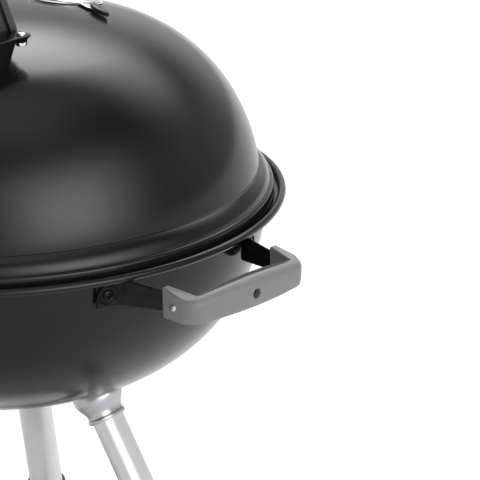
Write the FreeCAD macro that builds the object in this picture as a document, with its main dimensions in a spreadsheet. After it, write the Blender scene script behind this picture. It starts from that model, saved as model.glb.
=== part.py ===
import FreeCAD, Part

import math
import os

import Sketcher

# A kettle charcoal grill of the 57 cm class: an enamelled bowl and lid on three oval tube legs.
# Frame: Z up, origin on the ground in the middle of the grill's footprint, X towards the right side
# handle, -Y towards the front. The pieces are drawn about the kettle's own upright axis, and every
# finished piece is then moved by axis_x and axis_y, where that axis stands. Heights called "rise"
# are counted from the plane of the bowl's rim.

Vector = FreeCAD.Vector

SHEET = {
    # where the kettle's axis stands
    "axis_x": -11.3,
    "axis_y": 31.0,
    # bowl
    "rim_height": 690.0,
    "rim_radius": 285.0,
    "rim_bead": 4.0,
    "enamel_sheet": 1.2,
    "bowl_depth": 199.3,
    "bowl_crown_radius": 406.0,
    "bowl_crown_angle": 21.8,
    "bowl_shoulder_radius": 179.4,
    "bowl_shoulder_angle": 67.5,
    "bowl_wall_radius": 230.6,
    "bowl_wall_angle": 81.6,
    "ledge_radius": 274.0,
    "flare_start": 11.0,
    "wall_flare": 1.3,
    # lid
    "lid_height": 195.75,
    "lid_crown_radius": 444.0,
    "lid_crown_angle": 19.6,
    "lid_shoulder_radius": 163.0,
    "lid_shoulder_angle": 62.7,
    "lid_wall_radius": 194.0,
    "lid_wall_angle": 82.4,
    "lip_radius": 273.0,
    "lip_bottom": 2.3,
    "lip_top": 11.4,
    "lip_corner": 3.2,
    "cove_radius": 19.0,
    # lid vent
    "vent_offset": 92.0,
    "vent_disc_radius": 43.0,
    "vent_hole_radius": 8.5,
    "vent_hole_circle": 22.0,
    "vent_rivet_radius": 3.0,
    "running_gap": 0.05,
    "body_gap": 0.5,
    "tab_length": 34.0,
    "tab_width": 11.6,
    "tab_thick": 5.0,
    "tab_turn": -9.2,
    # lid handle
    "lid_handle_offset": 87.0,
    "pedestal_reach": 106.0,
    "pedestal_foot": 13.0,
    "pedestal_top": 26.0,
    "flange_rise": 201.0,
    "flange_thick": 2.0,
    "flange_screw_reach": 117.0,
    "flange_screw_half": 25.0,
    "lid_grip_height": 66.0,
    "lid_grip_reach": 101.0,
    "lid_grip_foot_half": 36.0,
    "lid_grip_top_half": 21.0,
    "lid_grip_leg": 20.0,
    "lid_grip_bar": 24.0,
    "screw_radius": 2.5,
    "screw_head_radius": 4.6,
    "screw_head_high": 2.8,
    # side handles
    "strap_thick": 2.0,
    "strap_high": 26.0,
    "strap_drop": 31.0,
    "strap_foot_radius": 267.4,
    "strap_root_half": 80.3,
    "strap_end_half": 66.5,
    "strap_bar_reach": 348.0,
    "foot_tab": 25.0,
    "foot_dish_share": 0.55,
    "foot_drop": 18.4,
    "grip_inner_reach": 338.4,
    "grip_inner_half": 62.7,
    "grip_outer_reach": 350.0,
    "grip_outer_half": 64.0,
    "grip_corner_radius": 20.0,
    "grip_bow_radius": 344.0,
    "grip_cheek_reach": 307.0,
    "grip_cheek_inner": 67.9,
    "grip_cheek_outer": 75.5,
    "grip_shoulder_reach": 334.0,
    "grip_shoulder_half": 77.0,
    "grip_high": 30.5,
    "grip_drop": 33.0,
    "grip_hole_radius": 4.5,
    "hole_drop": 19.0,
    "hook_middle": 347.2,
    "hook_lean": 3.0,
    "foot_disc_radius": 11.0,
    "cheek_screw_reach": 322.0,
    "cheek_screw_radius": 3.3,
    # legs
    "leg_azimuth": 11.0,
    "leg_splay": 27.5,
    "leg_reach": 111.0,
    "leg_reach_drop": 200.0,
    "leg_wide": 36.0,
    "leg_deep": 26.6,
    "leg_wall": 1.5,
    "socket_wall": 2.2,
    "socket_lip": 1.2,
    "socket_long": 31.0,
    "socket_flange_radius": 27.0,
    "socket_above": 12.0,
    "socket_web": 24.0,
    "bolt_seat": 0.08,
    "foot_thick": 14.0,
    "foot_high": 46.0,
    "leg_end_height": 52.0,
    # axle and wheels
    "wheel_radius": 80.0,
    "wheel_rim_radius": 70.0,
    "wheel_wide": 36.0,
    "tyre_wide": 32.0,
    "tyre_shoulder": 7.0,
    "hub_radius": 15.0,
    "web_thick": 5.0,
    "axle_radius": 5.0,
    "spacer_long": 14.0,
    "spacer_radius": 9.0,
    "side_play": 0.5,
    "cap_radius": 12.0,
    "cap_long": 11.0,
    # shelf and ash pan
    "shelf_height": 190.0,
    "shelf_radius": 236.0,
    "ring_rod": 3.5,
    "shelf_rod": 2.2,
    "shelf_pitch": 34.0,
    "clip_wall": 3.0,
    "clip_high": 20.0,
    "ash_ring_height": 270.0,
    "ash_ring_radius": 130.0,
    "ash_floor_radius": 98.0,
    "ash_wall_radius": 124.0,
    "ash_deep": 26.0,
    # grates
    "cooking_drop": 40.0,
    "cooking_radius": 252.0,
    "cooking_pitch": 18.0,
    "cooking_rod": 2.2,
    "cooking_ring_rod": 3.0,
    "charcoal_drop": 122.0,
    "charcoal_radius": 203.0,
    "charcoal_pitch": 25.0,
    "charcoal_rod": 2.6,
    "charcoal_ring_rod": 3.4,
    "loop_radius": 27.0,
    "rest_wide": 16.0,
    "rest_thick": 3.0,
    "rest_reach": 14.0,
    # ash vents and sweeper
    "slot_inner": 38.0,
    "slot_outer": 82.0,
    "slot_wide": 24.0,
    "blade_inner": 8.0,
    "blade_outer": 90.0,
    "blade_wide": 34.0,
    "blade_hub": 22.0,
    "shaft_radius": 4.0,
    "lever_azimuth": 160.0,
    "lever_long": 118.0,
    "lever_wide": 14.0,
    "lever_thick": 3.0,
    "lever_drop": 208.0,
    "knob_long": 42.0,
    "knob_radius": 9.0,
}

SIDES = {"right": 1, "left": -1}
LEGS = {"right": 0.0, "back": 120.0, "front": 240.0}
WHEEL_LEGS = ("back", "front")

# The bowl's flare is a near quarter round; its radius is this many times its reach.
FLARE_BOW = 1.06

DOC = FreeCAD.newDocument("kettle_grill")
NODES = []


# ---------------------------------------------------------------- sizes that know their formula
class Size:
    """A number of millimetres or degrees, with the formula that gives it from the sheet."""

    def __init__(self, value, formula):
        self.value = float(value)
        self.formula = formula

    def __add__(self, other):
        return joined(self, "+", other, self.value + sized(other).value)

    def __radd__(self, other):
        return sized(other) + self

    def __sub__(self, other):
        return joined(self, "-", other, self.value - sized(other).value)

    def __rsub__(self, other):
        return sized(other) - self

    def __mul__(self, other):
        return joined(self, "*", other, self.value * sized(other).value)

    def __rmul__(self, other):
        return sized(other) * self

    def __truediv__(self, other):
        return joined(self, "/", other, self.value / sized(other).value)

    def __neg__(self):
        return sized(0) - self


def sized(item):
    return item if isinstance(item, Size) else Size(item, f"({float(item)})")


def joined(left, sign, right, value):
    return Size(value, f"({sized(left).formula} {sign} {sized(right).formula})")


def sine(angle):
    angle = sized(angle)
    return Size(math.sin(math.radians(angle.value)), f"sin({angle.formula})")


def cosine(angle):
    angle = sized(angle)
    return Size(math.cos(math.radians(angle.value)), f"cos({angle.formula})")


def root(item):
    return Size(math.sqrt(item.value), f"sqrt({item.formula})")


def make_sheet():
    """Write the driving dimensions into the document's spreadsheet and return them by name."""
    sheet = DOC.addObject("Spreadsheet::Sheet", "dims")
    for row, (name, value) in enumerate(SHEET.items(), start=1):
        sheet.set(f"A{row}", name)
        sheet.set(f"B{row}", str(value))
        sheet.setAlias(f"B{row}", name)
    DOC.recompute()
    return {name: Size(value, f"dims.{name}") for name, value in SHEET.items()}


D = make_sheet()


# ---------------------------------------------------------------- small builders
def solid(kind, **sizes):
    """Add a Part primitive whose sizes are bound to the sheet."""
    item = DOC.addObject(kind, "form")
    for name, size in sizes.items():
        size = sized(size)
        setattr(item, name, size.value)
        item.setExpression(name, size.formula)
    return item


def placed(item, x=0, y=0, z=0, turn=None):
    """Move an object to x, y, z with a rotation."""
    spot = [sized(x), sized(y), sized(z)]
    item.Placement = FreeCAD.Placement(Vector(*[size.value for size in spot]), turn or FreeCAD.Rotation())
    for axis, size in zip("xyz", spot):
        item.setExpression(f"Placement.Base.{axis}", size.formula)
    return item


def about(axis, angle):
    return FreeCAD.Rotation(Vector(*axis), sized(angle).value)


def towards(direction):
    """The rotation that takes the Z axis to a direction."""
    return FreeCAD.Rotation(Vector(0, 0, 1), Vector(*direction))


def cylinder(radius, height):
    return solid("Part::Cylinder", Radius=radius, Height=height)


def block(length, width, height):
    """A box centred on the origin in X and Y, standing on Z = 0."""
    item = solid("Part::Box", Length=length, Width=width, Height=height)
    return grouped([placed(item, -sized(length) / 2, -sized(width) / 2, 0)])


def flat_oval(width, depth, height):
    """An upright prism with two flat sides and two half-round ends, the long way along Y."""
    radius = sized(depth) / 2
    half = sized(width) / 2 - radius
    ends = [placed(cylinder(radius, height), 0, side * half, 0) for side in (-1, 1)]
    middle = solid("Part::Box", Length=depth, Width=half * 2, Height=height)
    return fuse(ends + [placed(middle, -radius, -half, 0)])


def wedge(base, top, height):
    """A prism from a base rectangle to a top rectangle, each (x low, x high, y low, y high)."""
    item = solid(
        "Part::Wedge",
        Xmin=base[0],
        Xmax=base[1],
        Zmin=-sized(base[3]),
        Zmax=-sized(base[2]),
        X2min=top[0],
        X2max=top[1],
        Z2min=-sized(top[3]),
        Z2max=-sized(top[2]),
        Ymin=0,
        Ymax=height,
    )
    item.Placement = FreeCAD.Placement(Vector(), about((1, 0, 0), 90))
    return grouped([item])


def fuse(items, refine=True):
    whole = DOC.addObject("Part::MultiFuse", "joined")
    whole.Shapes = items
    whole.Refine = refine
    return whole


def grouped(items):
    """Several solids carried as one object."""
    whole = DOC.addObject("Part::Compound", "group")
    whole.Links = items
    return whole


def cut(base, *tools):
    for tool in tools:
        item = DOC.addObject("Part::Cut", "trimmed")
        item.Base = base
        item.Tool = tool
        base = item
    return base


def common(base, tool):
    item = DOC.addObject("Part::Common", "shared")
    item.Base = base
    item.Tool = tool
    return item


def copy_of(item):
    """A linked copy of an object, to be placed or used as a tool again."""
    twin = DOC.addObject("App::Link", "twin")
    twin.LinkedObject = item
    twin.LinkTransform = True
    return twin


def node(name, item):
    """Name a finished piece and stand it on the kettle's axis."""
    whole = placed(grouped([item]), D["axis_x"], D["axis_y"], 0)
    whole.Label = name
    NODES.append(whole)


def origin_plane(body, role):
    return [plane for plane in body.Origin.OriginFeatures if plane.Role == role][0]


def outline(body, role, path):
    """Draw a closed outline on an origin plane, every corner and radius bound to the sheet.

    The path lists corners (x, y). A corner (x, y, radius, side) is reached along an arc whose
    middle lies on the left (side 1) or the right (side -1) of the way there.
    """
    sketch = body.newObject("Sketcher::SketchObject", "outline")
    sketch.AttachmentSupport = [(origin_plane(body, role), "")]
    sketch.MapMode = "FlatFace"
    corners = [(sized(step[0]), sized(step[1])) for step in path]
    places = [Vector(x.value, y.value, 0) for x, y in corners]
    links = []
    for number, step in enumerate(path):
        start, end = places[number - 1], places[number]
        if len(step) == 2:
            edge = sketch.addGeometry(Part.LineSegment(start, end), False)
        else:
            edge = sketch.addGeometry(arc_between(start, end, sized(step[2]).value, step[3]), False)
            bind(sketch, sized(step[2]), "Radius", edge)
        first_is_start = sketch.getPoint(edge, 1).distanceToPoint(start) < 1e-6
        links.append((edge, 1, 2) if first_is_start else (edge, 2, 1))
    for number, (x, y) in enumerate(corners):
        edge, _, tail = links[number]
        after, head, _ = links[(number + 1) % len(links)]
        sketch.addConstraint(Sketcher.Constraint("Coincident", edge, tail, after, head))
        pin(sketch, edge, tail, x, "DistanceX", -2)
        pin(sketch, edge, tail, y, "DistanceY", -1)
    return sketch


def arc_between(start, end, radius, side):
    chord = end - start
    left = Vector(-chord.y, chord.x, 0).normalize()
    reach = math.sqrt(max(radius * radius - chord.Length * chord.Length / 4, 0.0))
    centre = (start + end) * 0.5 + left * (side * reach)
    return Part.Arc(start, centre - left * (side * radius), end)


def bind(sketch, size, kind, *rest):
    number = sketch.addConstraint(Sketcher.Constraint(kind, *rest, size.value))
    sketch.setExpression(f"Constraints[{number}]", size.formula)


def pin(sketch, edge, point, size, kind, axis):
    """Hold a point at a distance from an axis of the sketch."""
    if size.value == 0:
        sketch.addConstraint(Sketcher.Constraint("PointOnObject", edge, point, axis))
    else:
        bind(sketch, size, kind, -1, 1, edge, point)


def revolved(path):
    """A solid of revolution about Z from an outline of (radius, height)."""
    body = DOC.addObject("PartDesign::Body", "turned")
    sketch = outline(body, "XZ_Plane", path)
    turn = body.newObject("PartDesign::Revolution", "revolution")
    turn.Profile = (sketch, [""])
    turn.ReferenceAxis = (sketch, ["V_Axis"])
    turn.Angle = 360
    body.Tip = turn
    return body


def padded(path, height):
    """A flat piece raised from an outline of (x, y)."""
    body = DOC.addObject("PartDesign::Body", "plate")
    sketch = outline(body, "XY_Plane", path)
    pad = body.newObject("PartDesign::Pad", "pad")
    pad.Profile = sketch
    pad.Length = sized(height).value
    pad.setExpression("Length", sized(height).formula)
    body.Tip = pad
    return body


def screw(radius, long, head_radius, head_high):
    """A pan head screw along Z: the head sits above Z = 0 and the shank below."""
    head_radius = sized(head_radius)
    edge = sized(head_high) * 0.45
    return revolved(
        [
            (0, -sized(long)),
            (radius, -sized(long)),
            (radius, 0),
            (head_radius, 0),
            (head_radius, edge),
            (head_radius * 0.45, head_high),
            (0, head_high),
        ]
    )


# ---------------------------------------------------------------- kettle profiles
def three_arcs(kettle, height, inset):
    """Corners of a dome's outer profile moved inwards by inset: apex, two joints and the wall's end.

    The dome is a crown, a shoulder and a wall, three arcs that meet in line. Heights are counted
    from the plane of the rim, upwards for the lid and downwards for the bowl.
    """
    crown, shoulder, wall = (D[f"{kettle}_{name}_radius"] for name in ("crown", "shoulder", "wall"))
    first, second, third = (D[f"{kettle}_{name}_angle"] for name in ("crown", "shoulder", "wall"))
    crown_rise = height - crown
    shoulder_x = (crown - shoulder) * sine(first)
    shoulder_rise = crown_rise + (crown - shoulder) * cosine(first)
    wall_x = shoulder_x + (shoulder - wall) * sine(second)
    wall_rise = shoulder_rise + (shoulder - wall) * cosine(second)
    return [
        (sized(0), height - inset),
        ((crown - inset) * sine(first), crown_rise + (crown - inset) * cosine(first)),
        (
            shoulder_x + (shoulder - inset) * sine(second),
            shoulder_rise + (shoulder - inset) * cosine(second),
        ),
        (wall_x + (wall - inset) * sine(third), wall_rise + (wall - inset) * cosine(third)),
    ]


def bowl_corners(inset):
    return [(x, -rise) for x, rise in three_arcs("bowl", D["bowl_depth"], inset)]


def lifted(path):
    """Move a profile counted from the rim plane up to its height above the ground."""
    return [(step[0], D["rim_height"] + step[1], *step[2:]) for step in path]


def bowl_arcs(inset, reach):
    """The bowl's profile from the axis at the bottom up to the wall, then a corner at the rim."""
    corners = bowl_corners(inset)
    return [
        corners[0],
        (*corners[1], D["bowl_crown_radius"] - inset, 1),
        (*corners[2], D["bowl_shoulder_radius"] - inset, 1),
        (*corners[3], D["bowl_wall_radius"] - inset, 1),
        (corners[3][0] + reach, -D["flare_start"]),
    ]


def rim_arcs(wall_end):
    """The outer profile from the wall's end over the flare and the ledge to the top of the bead."""
    bead = D["rim_bead"]
    bead_x = D["rim_radius"] - bead
    return [
        (D["ledge_radius"], -bead, (D["ledge_radius"] - wall_end[0]) * FLARE_BOW, -1),
        (bead_x, -bead),
        (D["rim_radius"], 0, bead, 1),
        (bead_x, bead, bead, 1),
    ]


def make_bowl_form():
    """The space inside the bowl's outer face, used to trim what touches it."""
    outer = bowl_arcs(sized(0), D["wall_flare"])
    return revolved(lifted(outer + rim_arcs(outer[-1]) + [(0, D["rim_bead"])]))


def make_bowl_room():
    """The space inside the bowl's inner face."""
    return revolved(lifted(bowl_arcs(D["enamel_sheet"], D["wall_flare"]) + [(0, -D["flare_start"])]))


def make_bowl(bores):
    sheet, bead = D["enamel_sheet"], D["rim_bead"]
    outer = bowl_arcs(sized(0), D["wall_flare"])
    inner = bowl_arcs(sheet, D["wall_flare"])
    flare = D["ledge_radius"] - outer[-1][0]
    bead_x = D["rim_radius"] - bead
    path = outer + rim_arcs(outer[-1]) + [
        (bead_x - bead, 0, bead, 1),
        (bead_x - bead * 0.95, -bead + sheet),
        (D["ledge_radius"], -bead + sheet),
        (*inner[-1], (flare + sheet) * FLARE_BOW, 1),
        (*inner[3][:2],),
        (*inner[2][:2], D["bowl_wall_radius"] - sheet, -1),
        (*inner[1][:2], D["bowl_shoulder_radius"] - sheet, -1),
        (*inner[0], D["bowl_crown_radius"] - sheet, -1),
    ]
    shell = revolved(lifted(path))
    slots = [
        placed(
            flat_oval(D["slot_outer"] - D["slot_inner"], D["slot_wide"], 60),
            (D["slot_inner"] + D["slot_outer"]) / 2 * cosine(azimuth),
            (D["slot_inner"] + D["slot_outer"]) / 2 * sine(azimuth),
            D["rim_height"] - D["bowl_depth"] - 20,
            about((0, 0, 1), azimuth + 90),
        )
        for azimuth in (60, 180, 300)
    ]
    shaft_hole = placed(
        cylinder(D["shaft_radius"] + D["running_gap"], 60), 0, 0, D["rim_height"] - D["bowl_depth"] - 20
    )
    node("bowl", cut(shell, fuse(slots + [shaft_hole]), bores))


# ---------------------------------------------------------------- lid
def lid_path():
    sheet = D["enamel_sheet"]
    outer = three_arcs("lid", D["lid_height"], sized(0))
    inner = three_arcs("lid", D["lid_height"], sheet)
    lip, corner, top = D["lip_radius"], D["lip_corner"], D["lip_top"]
    arcs = [D[f"lid_{name}_radius"] for name in ("crown", "shoulder", "wall")]
    return [
        outer[0],
        (*outer[1], arcs[0], -1),
        (*outer[2], arcs[1], -1),
        (*outer[3], arcs[2], -1),
        (lip - corner, top, D["cove_radius"], 1),
        (lip, top - corner, corner, -1),
        (lip, -D["lip_bottom"]),
        (lip - sheet * 2, -D["lip_bottom"]),
        (lip - sheet * 2, top - corner - sheet),
        (lip - corner - sheet, top - sheet),
        (*inner[3], D["cove_radius"] + sheet, -1),
        (*inner[2], arcs[2] - sheet, 1),
        (*inner[1], arcs[1] - sheet, 1),
        (*inner[0], arcs[0] - sheet, 1),
    ]


def vent_frame(distance, turn=0, azimuth=0):
    """Place something at a distance from the dome crown's centre, along the vent's own axis.

    turn leans it further away from the vent, towards azimuth in the vent's frame.
    """
    tilt = math.degrees(math.asin(D["vent_offset"].value / D["lid_crown_radius"].value))
    lean = about((1, 0, 0), -tilt)
    aside = about((0, 0, 1), azimuth).multiply(about((0, 1, 0), turn))
    rotation = lean.multiply(aside)
    middle = Vector(0, 0, (D["rim_height"] + D["lid_height"] - D["lid_crown_radius"]).value)
    return FreeCAD.Placement(middle + rotation.multVec(Vector(0, 0, distance)), rotation)


def on_vent(item, distance, turn=0, azimuth=0):
    item.Placement = vent_frame(sized(distance).value, turn, azimuth)
    return item


def vent_holes(depth):
    circle, radius = D["vent_hole_circle"], D["vent_hole_radius"]
    return fuse(
        [
            placed(cylinder(radius, depth), circle * cosine(angle), circle * sine(angle), -sized(depth) / 2)
            for angle in (45, 135, 225, 315)
        ]
    )


def make_lid():
    shell = revolved(lifted(lid_path()))
    holes = on_vent(grouped([vent_holes(20)]), D["lid_crown_radius"])
    rivet_hole = on_vent(cylinder(D["vent_rivet_radius"], 20), D["lid_crown_radius"] - 10)
    node("lid", cut(shell, fuse([holes, rivet_hole])))


def make_lid_form():
    """The space inside the lid's outer face, used to trim what stands on it."""
    outer = three_arcs("lid", D["lid_height"], sized(0))
    arcs = [D[f"lid_{name}_radius"] for name in ("crown", "shoulder", "wall")]
    path = [outer[0]] + [(*corner, arc, -1) for corner, arc in zip(outer[1:], arcs)]
    return revolved(lifted(path + [(0, outer[3][1])]))


def make_lid_vent():
    """A turning disc with a raised double rim on a rivet, and a heat-proof tab on its ear."""
    radius, sheet = D["vent_disc_radius"], D["enamel_sheet"]
    crown = D["lid_crown_radius"]
    gap = D["body_gap"]
    sag = crown - root(crown * crown - radius * radius)
    profile = [
        (D["vent_rivet_radius"] + D["running_gap"], 0),
        (radius, -sag, crown + gap, -1),
        (radius, -sag + 3.2),
        (radius - 2.6, -sag + 3.6),
        (radius - 3.4, -sag + sheet),
        (radius - 6.6, -sag + sheet + 0.25),
        (radius - 7.4, -sag + 3.2),
        (radius - 9.6, -sag + 3.2),
        (radius - 11, -sag + 1.9),
        (D["vent_rivet_radius"] + D["running_gap"], sheet),
    ]
    disc = revolved(profile)
    ear = placed(block(18, 13, 2.2), radius + 5, 0, -sag + 0.2)
    ear.Placement.Rotation = about((0, 1, 0), 5.6)
    ear_round = placed(cylinder(6.5, 2.2), radius + 14, 0, -sag - 0.7)
    ear_round.Placement.Rotation = about((0, 1, 0), 5.6)
    plate = cut(fuse([disc, ear, ear_round]), vent_holes(20))
    holder = grouped([plate])
    node("lid_vent_disc", on_vent(holder, crown + gap, 0, D["tab_turn"]))
    long, half = D["tab_length"] / 2, D["tab_width"] / 2
    bow = (long * long + half * half) / (half * 2)
    leaf = padded([(-long, 0, bow, 1), (long, 0, bow, 1)], D["tab_thick"])
    slot = placed(block(20, 13.4, 2.4), -long + 2, 0, -0.1)
    tab = grouped([cut(leaf, grouped([slot]))])
    tab_turn = math.degrees((radius.value + 10 + long.value) / crown.value)
    node("lid_vent_tab", on_vent(tab, crown + gap + 0.9, tab_turn, D["tab_turn"]))
    rivet = revolved(
        [
            (0, -5),
            (6, -5),
            (6, -sheet - 0.5),
            (D["vent_rivet_radius"], -sheet - 0.5),
            (D["vent_rivet_radius"], 2.4),
            (5.5, 2.4),
            (4.6, 4.2),
            (0, 4.9),
        ]
    )
    node("lid_vent_rivet", on_vent(rivet, crown))


def make_lid_handle(lid_form):
    """Two pressed pedestals on the dome carry a moulded grip held by four screws."""
    middle, reach = -D["lid_handle_offset"], D["pedestal_reach"]
    foot, top = D["pedestal_foot"], D["pedestal_top"]
    flange = D["rim_height"] + D["flange_rise"]
    screw_x, screw_y = D["flange_screw_reach"], D["flange_screw_half"]
    high, thick = 45, D["flange_thick"]
    pedestals, screws, nuts = [], [], []
    for side in (-1, 1):
        stem = wedge((-7, 9, -foot + 4, foot - 4), (-9, 13, -top + 4, top - 4), high)
        stem = placed(stem, reach, middle, flange - high)
        lobes = [placed(cylinder(9, thick), screw_x, middle + sign * screw_y, flange) for sign in (-1, 1)]
        plate = placed(block(screw_x - 72, top * 2 + 14, thick), (screw_x + 72) / 2, middle, flange)
        bores = [
            placed(cylinder(D["screw_radius"], 30), screw_x, middle + sign * screw_y, flange - 15)
            for sign in (-1, 1)
        ]
        nut_rooms = [
            placed(cylinder(6, 10), screw_x, middle + sign * screw_y, flange - 10) for sign in (-1, 1)
        ]
        whole = cut(fuse([stem, plate] + lobes), fuse(bores + nut_rooms), copy_of(lid_form))
        pedestals.append(turned_side(whole, side))
        for sign in (-1, 1):
            bolt = screw(D["screw_radius"], 12, D["screw_head_radius"], D["screw_head_high"])
            screws.append(turned_side(placed(bolt, screw_x, middle + sign * screw_y, flange + thick), side))
            nut = cut(cylinder(5.5, 5.5), placed(cylinder(D["screw_radius"], 8), 0, 0, -1))
            spot = placed(grouped([nut]), screw_x, middle + sign * screw_y, flange - 5.5)
            nuts.append(turned_side(spot, side))
    node("lid_handle_pedestals", grouped(pedestals))
    node("lid_handle_screws", grouped(screws))
    node("lid_handle_nuts", grouped(nuts))

    base, end, leg = flange + thick, D["lid_grip_reach"], D["lid_grip_leg"]
    wide, slim = D["lid_grip_foot_half"], D["lid_grip_top_half"]
    rise = D["lid_grip_height"] - D["lid_grip_bar"] / 2
    legs = []
    for side in (-1, 1):
        upright = wedge((end - leg, end, -wide, wide), (end - leg - 10, end - 6, -slim, slim), rise)
        recess = wedge((end - 5, end + 9, -wide + 9, wide - 9), (end - 11, end + 9, -slim + 8, slim - 8), rise)
        legs.append(turned_side(placed(cut(upright, placed(recess, 0, 0, 0)), 0, middle, base), side))
    bar = placed(
        flat_oval(slim * 2, D["lid_grip_bar"], (end - 6) * 2),
        -(end - 6),
        middle,
        base + rise,
        about((0, 1, 0), 90),
    )
    node("lid_handle_grip", fuse(legs + [bar]))


def turned_side(item, side):
    """The piece itself on the right, or its mirror twin on the left."""
    if side > 0:
        return item
    twin = DOC.addObject("Part::Mirroring", "mirrored")
    twin.Source = item
    twin.Normal = Vector(1, 0, 0)
    return twin


# ---------------------------------------------------------------- side handles
def strap_foot(sign):
    """The corner where a strap's arm bends into its foot, the way out from the bowl and along the foot."""
    azimuth = sign * math.asin(D["strap_root_half"].value / D["strap_foot_radius"].value)
    out = Vector(math.cos(azimuth), math.sin(azimuth), 0)
    along = Vector(-math.sin(azimuth), math.cos(azimuth), 0) * sign
    return out * D["strap_foot_radius"].value, out, along


def strap_path():
    """Plan of the strap: foot, arm, cross bar, arm, foot, as a ribbon of even thickness."""
    thick = D["strap_thick"].value
    corner, _, along = strap_foot(1)
    foot_end = corner + along * D["foot_tab"].value
    bar = Vector(D["strap_bar_reach"].value, D["strap_end_half"].value - 2.5, 0)
    line = [foot_end, corner, bar]
    line += [Vector(point.x, -point.y, 0) for point in reversed(line)]
    left = offset_line(line, thick / 2)
    right = offset_line(line, -thick / 2)
    return [(point.x, point.y) for point in left + right[::-1]]


def offset_line(line, distance):
    """A polyline moved sideways, with mitred corners."""
    moved = []
    for number, point in enumerate(line):
        before = point - line[number - 1] if number else line[1] - point
        after = line[number + 1] - point if number + 1 < len(line) else before
        normals = [Vector(-way.y, way.x, 0).normalize() for way in (before, after)]
        mitre = (normals[0] + normals[1]).normalize()
        moved.append(point + mitre * (distance / mitre.dot(normals[0])))
    return moved


def foot_tool(sign, radius, long, start=-20):
    """A round tool square through the middle of a strap's foot, start counted from its middle face."""
    corner, out, along = strap_foot(sign)
    item = cylinder(radius, long)
    spot = corner + out * start + along * (D["foot_tab"].value * D["foot_dish_share"].value)
    spot.z = (D["rim_height"] - D["foot_drop"]).value
    item.Placement = FreeCAD.Placement(spot, towards(tuple(out)))
    return item


def foot_bores():
    tools = [foot_tool(sign, D["cheek_screw_radius"], 40) for sign in (-1, 1)]
    tools += [turned_side(tool, -1) for tool in tools]
    return fuse(tools)


def cheek_frame(sign):
    """The middle of a cheek's screw on the grip's outer face, and that face's outward direction."""
    slope = math.atan2(
        D["grip_shoulder_half"].value - D["grip_cheek_outer"].value,
        D["grip_shoulder_reach"].value - D["grip_cheek_reach"].value,
    )
    x = D["cheek_screw_reach"].value
    y = D["grip_cheek_outer"].value + (x - D["grip_cheek_reach"].value) * math.tan(slope)
    spot = Vector(x, sign * y, (D["rim_height"] - D["hole_drop"]).value)
    return spot, Vector(-math.sin(slope), sign * math.cos(slope), 0)


def make_side_handle(name, side, bowl_form):
    height = D["rim_height"]
    strap = placed(padded(strap_path(), D["strap_high"]), 0, 0, height - D["strap_drop"])
    reach, lean = sized(30), D["hook_lean"]
    hole = placed(
        cylinder(D["grip_hole_radius"], reach * 2),
        D["hook_middle"] - reach * cosine(lean),
        0,
        height - D["hole_drop"] + reach * sine(lean),
        about((0, 1, 0), lean + 90),
    )
    bores = [foot_tool(sign, D["cheek_screw_radius"], 40) for sign in (-1, 1)]
    screw_bores, cheek_screws = [], []
    for sign in (-1, 1):
        spot, way = cheek_frame(sign)
        bore = cylinder(1.8, 22)
        bore.Placement = FreeCAD.Placement(spot - way * 20, towards(tuple(way)))
        screw_bores.append(bore)
        bolt = screw(1.8, 11, 3.4, 1.8)
        bolt.Placement = FreeCAD.Placement(spot, towards(tuple(way)))
        cheek_screws.append(turned_side(bolt, side))
    strap_whole = cut(strap, fuse([hole] + bores + screw_bores), copy_of(bowl_form))
    node(f"side_handle_{name}_strap", turned_side(strap_whole, side))

    inner, outer, cheek = D["grip_inner_reach"], D["grip_outer_reach"], D["grip_cheek_reach"]
    half = [
        (cheek, D["grip_cheek_inner"]),
        (cheek, D["grip_cheek_outer"]),
        (D["grip_shoulder_reach"], D["grip_shoulder_half"]),
    ]
    path = [(inner, -D["grip_inner_half"]), (cheek, -D["grip_cheek_inner"])]
    path += [(x, -y) for x, y in half[1:]]
    path += [
        (outer, -D["grip_outer_half"], D["grip_corner_radius"], 1),
        (outer, D["grip_outer_half"], D["grip_bow_radius"], 1),
        (D["grip_shoulder_reach"], D["grip_shoulder_half"], D["grip_corner_radius"], 1),
    ]
    path += [half[1], half[0], (inner, D["grip_inner_half"])]
    grip = placed(padded(path, D["grip_high"]), 0, 0, height - D["grip_drop"])
    node(
        f"side_handle_{name}_grip",
        turned_side(cut(grip, copy_of(strap), copy_of(hole), fuse([copy_of(b) for b in screw_bores])), side),
    )
    node(f"side_handle_{name}_grip_screws", grouped(cheek_screws))
    dishes, bolts, nuts = [], [], []
    for sign in (-1, 1):
        dish = foot_tool(sign, D["foot_disc_radius"], 2.4, D["strap_thick"].value / 2)
        hollow = foot_tool(sign, D["cheek_screw_radius"], 40)
        dishes.append(turned_side(cut(dish, hollow), side))
        bolt = screw(D["cheek_screw_radius"], 15, 5.6, 3.0)
        bolt.Placement = foot_tool(sign, 1, 1, D["strap_thick"].value / 2 + 2.4).Placement
        bolts.append(turned_side(bolt, side))
        nut = foot_tool(sign, 6.2, 4.2, -10.2)
        nuts.append(turned_side(cut(nut, foot_tool(sign, D["cheek_screw_radius"], 40)), side))
    node(f"side_handle_{name}_foot_dishes", grouped(dishes))
    node(f"side_handle_{name}_foot_screws", grouped(bolts))
    node(f"side_handle_{name}_foot_nuts", grouped(nuts))


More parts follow.
